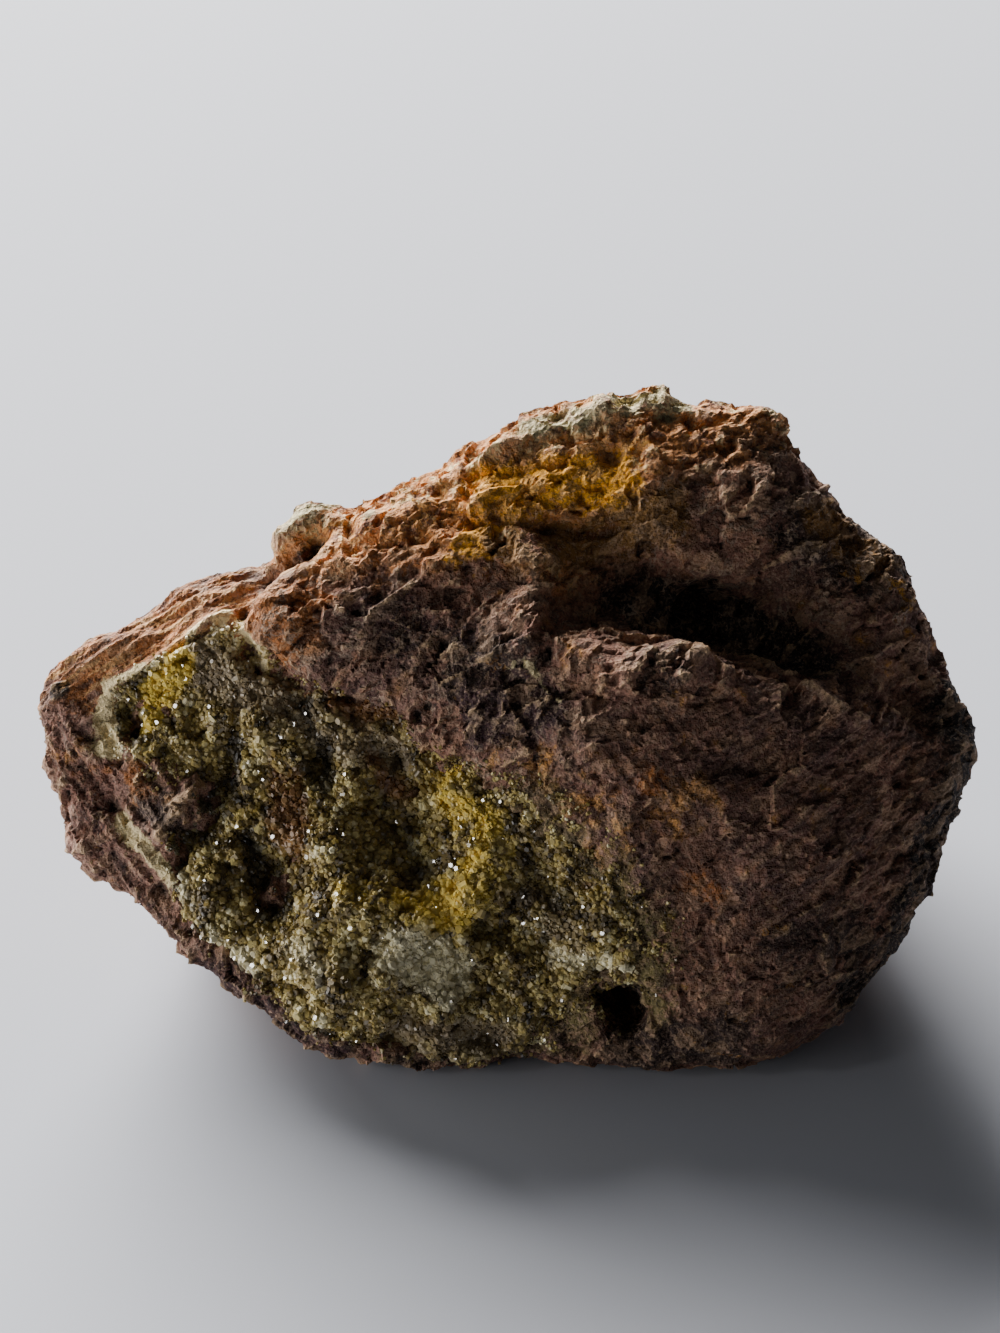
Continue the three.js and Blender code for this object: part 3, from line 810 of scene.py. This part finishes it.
# %% The crystals of the crust
LAMP = np.array([-500.0, -180.0, 320.0])  # a small light at the left, which some crystals mirror
CLUSTERS = [  # where the large crystals grew
    ([(-36.5, -3, 24.5), (-34.5, -1, 26.5)], 1.6, 1.0),
    ([(-15, -19.5, 16), (-9, -20.5, 15.2), (-4.5, -17.5, 17.5)], 1.0, 0.6),
    ([(3.5, -22.5, 12.8)], 1.2, 1.0),
    ([(-20, -3, 27)], 2.5, 0.15),
]
in_clusters = strokes(spots, CLUSTERS)
CRYSTALS = {  # count, weights, radii, rings, lean, length, and what to mirror
    "large_crystals": (260, weights * in_clusters, (0.2, 0.42), BEVELLED, 0.6, (1.6, 2.6)),
    "glinting_crystals": (110, weights * (0.2 + in_clusters), (0.16, 0.34), BEVELLED, 0.1, (2.8, 3.8), LAMP),
    "fine_crystals": (9500, weights, (0.13, 0.27), PLAIN, 0.6, (1.4, 2.8)),
    "coarse_crystals": (6000, weights, (0.2, 0.42), BEVELLED, 0.55, (1.2, 2.4)),
}
for name, settings in CRYSTALS.items():
    crystals.append(grow(name, crust_top, *settings))

# %% [markdown]
# ## Shader sums
#
# A stone's colour is a sum of many small things, and a shader says each of them with a node. The
# small class below lets them be written as sums: it wraps the output of a node, and adding or
# multiplying it makes the Math node. Everything else comes from one method that makes any node.

# %% A socket that can be used in sums
class Value:
    """The output of a node. Sums on it add Math nodes."""

    def __init__(self, shader, socket):
        self.shader = shader
        self.socket = socket

    def math(self, operation, first, second):
        return self.shader.node("ShaderNodeMath", {"operation": operation}, {0: first, 1: second})

    def __add__(self, other):
        return self.math("ADD", self, other)

    def __sub__(self, other):
        return self.math("SUBTRACT", self, other)

    def __rsub__(self, other):
        return self.math("SUBTRACT", other, self)

    def __mul__(self, other):
        return self.math("MULTIPLY", self, other)

    __radd__ = __add__
    __rmul__ = __mul__


print("sums of values now become Math nodes")

# %% A material that is built node by node
class Shader:
    """A new material, and the nodes that make its finish."""

    def __init__(self, name):
        self.material = bpy.data.materials.new(name)
        self.material.use_nodes = True
        self.tree = self.material.node_tree
        self.tree.nodes.clear()
        self.colour = None
        place = self.node("ShaderNodeTexCoord", output="Object")
        self.place = self.node(
            "ShaderNodeVectorMath", {"operation": "SCALE"}, {0: place, "Scale": 1 / MM})

    def node(self, kind, settings=None, sockets=None, output=0):
        """Adds a node, sets it, then fills its sockets with numbers or links."""
        made = self.tree.nodes.new(kind)
        for name, value in (settings or {}).items():
            if name == "stops":
                self.fill_ramp(made.color_ramp, value)
            else:
                setattr(made, name, value)
        for name, value in (sockets or {}).items():
            if isinstance(value, Value):
                self.tree.links.new(value.socket, made.inputs[name])
            else:
                made.inputs[name].default_value = value
        return Value(self, made.outputs[output])

    @staticmethod
    def fill_ramp(ramp, stops):
        while len(ramp.elements) < len(stops):
            ramp.elements.new(0.5)
        for element, (place, colour) in zip(ramp.elements, stops):
            element.position = place
            element.color = colour

    def stored(self, name):
        """A number that the mesh stores for each vertex."""
        return self.node("ShaderNodeAttribute", {"attribute_name": name}, output="Fac")

    def step(self, value, low, high):
        """0 below low, 1 above high, and a soft step between them."""
        settings = {"interpolation_type": "SMOOTHSTEP"}
        return self.node("ShaderNodeMapRange", settings, {"Value": value, "From Min": low, "From Max": high})

    def mix(self, share, first, second, kind="MIX"):
        """A mix of two colours: the Factor, A and B sockets for colours have the numbers 0, 6 and 7."""
        settings = {"data_type": "RGBA", "blend_type": kind}
        return self.node("ShaderNodeMix", settings, {0: share, 6: first, 7: second}, output=2)

    def coat(self, share, tone, kind="MIX"):
        """Lays a paint over the colour so far, as thick as the share says."""
        self.colour = self.mix(share, self.colour, paint(*tone), kind)

    def noise(self, size, detail=2.0, rough=0.55, place=None):
        """Noise from 0 to 1 with a size in millimetres."""
        sockets = {"Vector": place or self.place, "Scale": 1 / size, "Detail": detail, "Roughness": rough}
        return self.node("ShaderNodeTexNoise", {}, sockets, output="Fac")

    def cells(self, size, place=None):
        """Packed grains with a size in millimetres, each with a number of its own from 0 to 1."""
        sockets = {"Vector": place or self.place, "Scale": 1 / size}
        return self.node("ShaderNodeTexVoronoi", {}, sockets, output="Color")

    def drawn_out(self, run, times):
        """Places squeezed along a direction, so that noise at them is drawn out along it."""
        run = tuple(run / np.linalg.norm(run))
        along = self.node("ShaderNodeVectorMath", {"operation": "DOT_PRODUCT"}, {0: self.place, 1: run},
                          output="Value")
        push = self.node("ShaderNodeVectorMath", {"operation": "SCALE"},
                         {0: run, "Scale": along * (1 - 1 / times)})
        return self.node("ShaderNodeVectorMath", {"operation": "SUBTRACT"}, {0: self.place, 1: push})

    def fold(self, value):
        """0 where a noise crosses its middle, and up to 1 away from there: thin creases."""
        return self.node("ShaderNodeMath", {"operation": "ABSOLUTE"}, {0: value * 2 - 1})

    def bump(self, height, depth, under=None):
        """A surface that is raised by a height from 0 to 1, times a depth in millimetres."""
        sockets = {"Height": height, "Distance": depth * MM, "Strength": 1.0}
        if under:
            sockets["Normal"] = under
        return self.node("ShaderNodeBump", {}, sockets, output="Normal")

    def finish(self, sockets):
        """Closes the shader with a Principled surface."""
        surface = self.node("ShaderNodeBsdfPrincipled", {}, sockets)
        closing = self.tree.nodes.new("ShaderNodeOutputMaterial")
        self.tree.links.new(surface.socket, closing.inputs["Surface"])
        return self.material


print("finishes can now be built node by node")

# %% Paint
def paint(red, green, blue):
    """A colour as a paint chart gives it, from 0 to 255, in the linear light that shaders use."""
    parts = [c / 255 for c in (red, green, blue)]
    return tuple(c / 12.92 if c <= 0.04045 else ((c + 0.055) / 1.055) ** 2.4 for c in parts) + (1.0,)


print("middle grey in linear light:", round(paint(128, 128, 128)[0], 3))

# %% [markdown]
# ## The rock's stains
#
# Iron stains rock in many tones: ochre and gold where it is powdery, rust and amber where it is
# wet, plum and umber where it has aged, and soot-black. Umber and soot-black are also painted
# shade, in the hollows, under the brow and on the faces turned from the light, and some tan is
# painted light. Pale minerals leave cream rims. Each stain is a list of strokes again, pushed
# about by noise so that its outline is ragged, and kept on the vertices for the shader to read.

# %% The stains of the rock
STAINS = {  # path, width and strength
    "rose": [
        ([(-44, -4, 23), (-40, -11, 17)], 3.4, 0.9), ([(20, -14, 27), (24, -20, 20)], 4.5, 0.45),
    ],
    # umber is partly painted shade: its strokes on the brow's underside, the front's lower right, its foot,
    # the front ridge and the shaded right face darken where little light falls; on the back it is browner
    # stone
    "umber": [
        ([(-20, 22, 12), (10, 28, 20)], 8.0, 0.5), ([(36, 18, 30)], 8.0, 0.6),
        ([(-36, 10, 14)], 7.0, 0.5), ([(-10, -1.5, 34), (1.5, -5, 35)], 3.5, 0.7),
        ([(28, -24, 14), (33, -22, 14)], 6.0, 0.7), ([(13, -29, 5), (20, -29, 6)], 4.5, 1.1),
        ([(-2, -28, 3), (-10, -28, 2)], 2.5, 0.8), ([(15, -7, 34)], 4.0, 0.7),
        ([(30, 9, 40), (38, 8, 35)], 6.0, 0.75), ([(20, 14, 45.5), (26, 16, 46)], 3.5, 0.5),
        ([(-36, -8, 20.5), (-33, -11, 18.5)], 2.2, 1.0), ([(-5, -7, 31), (6, -10, 31)], 3.0, 0.6),
    ],
    "tan": [
        # painted light: this tan lightens the upper middle of the front face, which faces the sky
        ([(18, -17, 27)], 5.0, 0.5),
        ([(-1, -9.5, 26), (4.5, -13.5, 24.5), (8, -18, 21.5), (13, -22, 18)], 1.1, 0.7),
        ([(-7, -6, 29), (0, -10, 28)], 1.0, 0.5), ([(-15, 24, 32), (12, 29, 38)], 4.0, 0.5),
        ([(20, 28, 10)], 6.0, 0.4), ([(-42.5, -5, 22)], 3.0, 0.5),
        # painted light: the tan strokes on the crest below stand for the window light on it
        ([(-18, 7, 39), (-4, 10, 42), (8, 14, 45)], 6.0, 0.6), ([(12, 17, 47)], 5.0, 0.3),
        ([(0, -10.5, 28.5), (6, -14, 25.5), (11, -18, 22)], 3.0, 0.55),
    ],
    "ochre": [
        ([(-8, 27, 24), (-2, 28, 18)], 3.0, 0.7), ([(28, 26, 26)], 3.5, 0.5),
        ([(-0.5, 11, 43.3), (5.5, 11.5, 44), (11, 11.3, 43.3)], 3.0, 1.6),
        ([(-2.5, 5.5, 40.5)], 2.3, 1.5), ([(37, 9, 36), (40, 5, 33.5)], 3.0, 0.35),
    ],
    "rust": [
        ([(-43, 1, 27.5), (-30, 5.5, 33.5)], 5.0, 0.9), ([(-24, 2, 33.5), (-20, 1.5, 36)], 2.6, 1.0),
        ([(-17, 5, 38.5), (-8, 5.5, 40), (0, 9, 42), (14, 10, 43)], 3.2, 0.55),
        ([(18.5, -21, 20)], 2.4, 0.8), ([(13, -15, 27.5)], 2.2, 0.7), ([(-36, -8, 20.5)], 2.0, 0.6),
        ([(-41, -7, 21)], 3.0, 0.5),
    ],
    "plum": [
        ([(-1.5, -9, 30.5), (3, -9, 32)], 3.0, 1.5),
        ([(-44, -3, 24), (-40, -11, 17), (-34, -18, 11)], 1.4, 0.5),
        ([(-28, -22, 8), (-16, -27, 4)], 4.0, 0.8), ([(-14, 0, 36), (-4, -1, 35.5)], 4.5, 0.55),
        ([(20, -14, 27), (36, -10, 25)], 6.0, 0.4),
    ],
    "cream": [
        ([(1.5, -5.5, 35), (5.5, -9, 32.5)], 0.4, 0.6), ([(-4.9, -3.4, 34.8)], 0.5, 1.2),
        ([(-7, -8.5, 31), (-3, -8, 32.5), (1, -5.8, 34.5), (4, -2.5, 36)], 0.35, 0.65),
        ([(6, 18, 47), (16, 20, 48)], 2.4, 0.4),
        ([(-10, 10.5, 41.5), (-4, 13.5, 43.5), (1, 16, 45)], 1.2, 0.5),
        ([(-18, 7.5, 38.5), (-12, 8, 40.5)], 2.0, 0.3), ([(-20, 13.5, 39)], 2.2, 0.4),
        ([(-39.8, -1, 26.8), (-40, -5.5, 23)], 1.2, 1.2),
        ([(-26, 2.5, 33), (-25.5, 1, 32), (-24, -0.5, 30.5)], 0.9, 1.1),
        ([(-39.5, -0.5, 27.2), (-37, 0.2, 28.2), (-33.5, 1.5, 30.2), (-27, 3.6, 33.6)], 0.45, 1.4),
        ([(-37.5, -11, 18), (-33.5, -15, 14.8)], 1.3, 1.1),
        ([(-31.5, -17, 13), (-26.5, -21.5, 11)], 0.7, 0.8), ([(24.5, 19, 47.5)], 1.5, 0.4),
    ],
    "olive": [
        ([(6, -17, 21), (12, -22, 17), (14, -26, 10)], 3.4, 0.9), ([(7, -27, 5)], 4.0, 0.5),
        ([(7, -27, 8)], 2.0, 0.5),
    ],
    "amber": [
        ([(-24, 2, 33.5), (-20, 1.5, 36), (-21, -0.5, 33)], 3.0, 1.15), ([(18.5, -21, 20)], 2.2, 0.7),
        ([(-36, -8, 20.5)], 1.8, 0.8), ([(13, -15, 27.5)], 2.0, 0.6),
    ],
    "greenish": [
        ([(-21, 12, 38), (-18, 13.5, 39.5)], 2.4, 1.0), ([(-13.5, 10.5, 40.8)], 1.5, 0.9),
        ([(3, 17, 46), (12, 19, 48), (18, 20, 48)], 3.0, 0.85), ([(27, 19.5, 47)], 2.0, 0.7),
    ],
    "golden": [
        ([(1.5, 5, 40.3), (10, 6, 40.5), (16, 9, 42)], 3.6, 1.0), ([(32, 10, 40), (38, 8, 36)], 3.0, 0.8),
    ],
    # painted shade: this near-black stain darkens the valley, the cleft under the boulder and the right
    # edge, where shade falls; at the spur, the lobe and beside the hole it is a dark stain
    "soot": [
        ([(12, 3, 36), (20, 3, 33.8), (26, 2, 32.3), (31, -1, 32)], 3.2, 1.0),
        ([(-45.5, -0.5, 26.8)], 1.3, 1.5), ([(45.5, -2, 25), (42, -12, 17), (34, -23, 8)], 4.4, 1.0),
        ([(-35, -9, 20), (-32, -12, 18)], 2.0, 0.35), ([(-23.5, 7, 34.8), (-19, 9, 38)], 1.1, 1.3),
        ([(12.5, -24, 8)], 3.0, 1.0),
    ],
}
stained = warped(places, 3.0, 0.9, seed=60)
for stain, drawn in STAINS.items():
    set_values(rock_skin, stain, strokes(stained, drawn))
dusted = smooth(depth / reach, -1.2, 0.1) * (0.15 + 0.85 * right_side)
set_values(rock_skin, "dusted", dusted)
print("the rock has", len(STAINS), "stains, and dust on", int((dusted > 0.5).sum()), "vertices")

# %% [markdown]
# ## The rock's finish
#
# A weathered stone has no single colour anywhere. Its shader works as a painter does: a ground
# colour, then coat on coat, each thin and broken up. First come the stains of each place, some of
# them painted light and shade, then the streaks of each face, then painted light and shade from the
# relief, pale ridges and dark pits, and last the fine specks that make it look like stone up close.
# One image could hold all this, but it would blur near the camera, while noise stays sharp at any distance.

# %% Ground colour and stains
ROCK_TONES = {
    "umber": (58, 40, 34), "rose": (158, 110, 92), "tan": (234, 168, 92), "rust": (190, 118, 62),
    "plum": (66, 38, 42), "ochre": (255, 178, 34), "golden": (140, 98, 42), "amber": (176, 108, 52),
    "greenish": (190, 178, 134), "olive": (130, 116, 70), "soot": (26, 21, 20),
}
RAGGED = {"ochre": 2.2, "tan": 2.2, "rust": 2.2}  # how torn their edges are, and 1.2 for the others

rock = Shader("weathered_rock")
crest, ledge, flank, back = (rock.stored(face) for face in ("crest", "ledge", "flank", "back"))
speck = rock.noise(0.55, 3, 0.7)
patch = rock.noise(2.2, 4, 0.65)
rock.colour = rock.mix(rock.step(rock.noise(9, 3), 0.35, 0.65), paint(150, 105, 85), paint(112, 78, 70))
rock.coat(rock.step(patch, 0.45, 0.7), (172, 124, 92))  # sandy patches
rock.coat(flank * 0.4, (196, 148, 128))  # the flank's pinkish stone
rock.coat(crest * 0.75, (232, 152, 72))  # the crest's warm sand, partly its own colour and partly painted light where the window falls
# pale cream patches on the crest, partly painted light
rock.coat(rock.step(rock.noise(2.8, 4, 0.7), 0.54, 0.62) * crest * 0.75, (248, 226, 168))
for stain, tone in ROCK_TONES.items():
    amount = rock.stored(stain) + (patch - 0.5) * RAGGED.get(stain, 1.2) + (speck - 0.5) * 0.6
    rock.coat(rock.step(amount, 0.3, 0.75), tone)
print("nodes so far:", len(rock.tree.nodes))

# %% Scabs, layers, rind, veins and dust
streak = rock.noise(0.8, 4, 0.65, rock.drawn_out(LEDGE_RUN, 9))
rind = rock.noise(0.8, 4, 0.65, rock.drawn_out(FLANK_RUN, 7))
vein = rock.step(rock.fold(rock.noise(2.2, 3, 0.6)), 0.07, 0.02) * rock.step(rock.noise(3.5, 1), 0.45, 0.6)
scabs = rock.step(rock.noise(1.9, 4, 0.7), 0.46, 0.40) * crest
rock.coat(scabs * (0.8 - rock.stored("ochre") * 0.6), (112, 54, 32))  # liver-brown scabs on the crest
rock.coat(rock.step(streak, 0.54, 0.6) * ledge * 0.75, (88, 52, 36))  # the ledge's dark layers
rock.coat(rock.step(streak, 0.47, 0.40) * ledge * 0.8, (232, 176, 110))  # and its pale ones
rock.coat(rock.step(rind, 0.52, 0.6) * flank * 0.5, (66, 38, 38))  # the flank's dark rind
rock.coat(rock.step(rind, 0.44, 0.36) * flank * 0.55, (196, 168, 150))  # and pale threads in it
rock.coat(vein * rock.stored("brow") * 0.7, (176, 152, 130))  # thin veins on the brow
rock.coat(back * 0.5, (96, 64, 48))  # a browner back
dust = rock.stored("dusted") * 0.8 + (patch - 0.5) * 1.6 + (speck - 0.5)
rock.coat(rock.step(dust, 0.35, 0.7) * 0.7, (124, 112, 70))  # olive dust round the crust
print("nodes so far:", len(rock.tree.nodes))

# %% Painted highlights on ridges and painted shade in pits
ridge = rock.stored("ridge")
swell = rock.stored("swell")
chip = rock.cells(1.3, rock.drawn_out(LEDGE_RUN, 1.8))
crumbly = (rock.cells(0.55) - 0.5) * 0.3
off_lit_crest = 1 - crest * 0.8  # painted light: the dark marks fade on the crest, where the window light falls
rock.coat(rock.step(chip, 0.62, 0.8) * 0.3, (206, 168, 130))  # some chips are pale
rock.coat(rock.step(chip, 0.38, 0.2) * 0.45 * off_lit_crest, (46, 29, 25))  # and some dark
rock.coat(rock.step(swell, -0.1, -0.7) * 0.7 * off_lit_crest, (40, 26, 22))  # painted shade in broad hollows
rock.coat(rock.step(swell, 0.1, 0.7) * 0.4, (208, 174, 138))  # painted highlight on swells
rock.coat(rock.step(ridge, -0.08, -0.5) * (1 - crest * 0.5), (34, 22, 17))  # painted shade in small pits
rock.coat(rock.step(ridge + crumbly, 0.1, 0.45) * (0.55 - crest * 0.3), (220, 184, 138))  # painted highlight on ridges
print("nodes so far:", len(rock.tree.nodes))

# %% Specks, creases, lines and cream rims
folds = rock.fold(rock.noise(1.1, 3, 0.6))
fine = rock.noise(0.26, 2, 0.6)
rock.coat(rock.step(speck, 0.53, 0.66) * 0.7 * off_lit_crest, (36, 25, 22))  # dark specks
rock.coat(rock.step(speck, 0.45, 0.33) * 0.45, (178, 150, 124))  # pale specks
rock.coat(rock.step(folds, 0.10, 0.02) * (crest * 0.2 + 0.3), (30, 21, 17))  # painted shade in the bump's hairline creases
for side, run in zip(("left_front", "right_front"), FRONT_RUNS):
    line = rock.noise(0.9, 3, 0.6, rock.drawn_out(run, 6))
    rock.coat(rock.step(line, 0.52, 0.62) * rock.stored(side) * 0.6, (58, 40, 34))
    rock.coat(rock.step(line, 0.42, 0.34) * rock.stored(side) * 0.45, (186, 148, 122))
creamy = rock.stored("cream") + (patch - 0.5) * 1.4 + (speck - 0.5) * 0.8
rock.coat(rock.step(creamy, 0.35, 0.7) * 0.85, (246, 226, 172))  # cream rims
rock.coat(rock.step(fine, 0.52, 0.66) * 0.35 * off_lit_crest, (40, 29, 25))  # dark grit
rock.coat(rock.step(fine, 0.46, 0.32) * 0.25, (206, 176, 148))  # pale grit
rock.coat(back, (184, 156, 136), "MULTIPLY")  # the whole back is darker
print("nodes so far:", len(rock.tree.nodes))

# %% The rock's grain
creases = rock.bump(folds, 0.3)
stipple = rock.bump(rock.noise(0.7, 3, 0.65), 0.4, creases)
grain = rock.bump(rock.noise(0.3, 3, 0.7), 0.15, stipple)
weathered = rock.finish({"Base Color": rock.colour, "Roughness": 0.85, "Normal": grain, "IOR": 1.45})
print("the rock's finish has", len(rock.tree.nodes), "nodes")

# %% [markdown]
# ## The crust's finish
#
# The crystals are a little glassy, and brighter where they are clean. Each has a number drawn by
# chance, and a colour ramp turns it into a tone from dark olive to pale straw. Then come the
# stains, with the painted shade in the hollows. Real glass shading with light passing through would
# be slow for so many crystals, and at this size the eye sees only gloss, so a smooth opaque surface
# does. The ground between the crystals gets the same minerals, duller, and darkened as painted shade.

# %% The tones of the crust
CRUST_RAMP = [(0.0, (48, 38, 20)), (0.3, (106, 88, 48)), (0.55, (162, 140, 76)), (0.8, (206, 188, 122)),
              (1.0, (242, 232, 190))]
CRUST_TONES = {
    "grey": (150, 132, 104), "brown": (132, 88, 50), "pale": (248, 238, 198), "yellow": (236, 204, 84),
    # the near-black of the painted shade in the crust's hollows
    "dark": (36, 28, 16),
}


def crust_finish(name, is_ground):
    """The crust's minerals, stained where they lie. The ground is duller than crystals, and has painted
    shade.
    """
    crust = Shader(name)
    speck = crust.noise(0.5, 3, 0.7)
    patch = crust.noise(1.6, 3, 0.6)
    chance = patch if is_ground else crust.stored("chance")
    dull = 1.0 if is_ground else crust.step(crust.stored("dull"), 0.03, 0.3)
    stops = [(place, paint(*tone)) for place, tone in CRUST_RAMP]
    crust.colour = crust.node("ShaderNodeValToRGB", {"stops": stops}, {"Fac": chance})
    for stain, tone in CRUST_TONES.items():
        amount = crust.stored(stain) + (chance - 0.5) * 0.3 + (patch - 0.5) * 0.8
        crust.coat(crust.step(amount, 0.3, 0.8) * 0.85, tone)
    # painted shade: the ground between the crystals is darkened, as if they shaded it
    if is_ground:
        crust.coat(0.15, (22, 18, 10))
    crust.coat(crust.step(speck, 0.55, 0.7) * 0.5, (40, 34, 16))
    grain = crust.bump(speck * dull, 0.06)
    rough = dull * 0.4 + 0.05
    return crust.finish({"Base Color": crust.colour, "Roughness": rough, "Normal": grain, "IOR": 1.6})


ground_finish = crust_finish("crystal_ground", True)
crystal_finish = crust_finish("pyromorphite", False)
print("finishes:", [material.name for material in (weathered, ground_finish, crystal_finish)])

# %% [markdown]
# ## The pieces
#
# A mesh is only a shape, and an object shows it. Each piece rides on the frame's root body,
# takes the place of a node of the frame, whose solid it hides, and gets its finish. The rock is one
# stone, but so finely modelled that it is shown as two halves, each a mesh of its own. They overlap
# by a little, and have the same skin there, so no seam shows.

# %% Show the rock and the crust
SEAM = 0.9  # how far the halves overlap


def piece(name, mesh, finish, node):
    """Shows a mesh as a piece of the specimen, in place of a node of the frame."""
    mesh.materials.clear()
    mesh.materials.append(finish)
    made = show(name, mesh)
    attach(made, "root")
    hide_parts(node)
    print(name, "has", triangles(mesh), "triangles")


toward_camera = places @ backwards
half_way = np.median(toward_camera)
halves = {
    "rock_front": toward_camera > half_way - SEAM / 2,
    "rock_back": toward_camera < half_way + SEAM / 2,
}
for name, keep in halves.items():
    piece(name, part_of(rock_skin, keep, name), weathered, "matrix_rock")
stain_crust(crust_skin, points_of(crust_skin))
piece("crust_skin", crust_skin, ground_finish, "pyromorphite_crust")
for mesh in crystals:
    piece(mesh.name, mesh, crystal_finish, "pyromorphite_crust")

# %% [markdown]
# ## Floor and light
#
# The specimen lies on pale paper in front of a window. The big light stands behind it and to its
# left, so that the crest and the ledge are bright and the front lies in its own shade. A low dim
# light keeps the left of the crust readable, and the small lamp is there for the glints alone. A
# sun lamp would be simpler, but its shadows are hard, and a window's are soft.

# %% Floor
floor_mesh = bpy.data.meshes.new("floor")
floor_mesh.from_pydata([(-2, -2, 0), (2, -2, 0), (2, 2, 0), (-2, 2, 0)], [], [(0, 1, 2, 3)])
floor = show("floor", floor_mesh)
paper = Shader("paper")
floor_mesh.materials.append(paper.finish({"Base Color": paint(182, 185, 194), "Roughness": 0.9}))
print("the floor is", floor.dimensions.x, "m wide")

# %% Lights
LIT_POINT = Vector((0, 0, 0.02))  # what all lights face, in the middle of the lump


def area_light(name, place, sizes, power, colour):
    """A soft light that faces the specimen, and is not seen itself."""
    light = show(name, bpy.data.lights.new(name, "AREA"))
    light.data.shape = "RECTANGLE"
    light.data.size, light.data.size_y = sizes
    light.data.energy = power
    light.data.color = colour
    light.location = place
    light.rotation_euler = (LIT_POINT - light.location).to_track_quat("-Z", "Y").to_euler()
    light.visible_camera = False


area_light("window", (-0.81, 1.65, 0.78), (1.87, 0.81), 277, (1.0, 0.98, 0.95))
area_light("side_window", (-0.295, -0.03, 0.04), (0.31, 0.07), 0.82, (1.0, 0.99, 0.98))
area_light("lamp", LAMP * MM, (0.04, 0.04), 0.16, (1.0, 1.0, 1.0))
print("lights:", [light.name for light in bpy.data.lights])

# %% The light of the room
world = bpy.data.worlds.new("room")
world.use_nodes = True
sky = world.node_tree.nodes["Background"].inputs
sky["Color"].default_value = (0.94, 0.96, 1.0, 1)
sky["Strength"].default_value = 0.048
bpy.context.scene.world = world
print("the room's light has a strength of", round(sky["Strength"].default_value, 3))
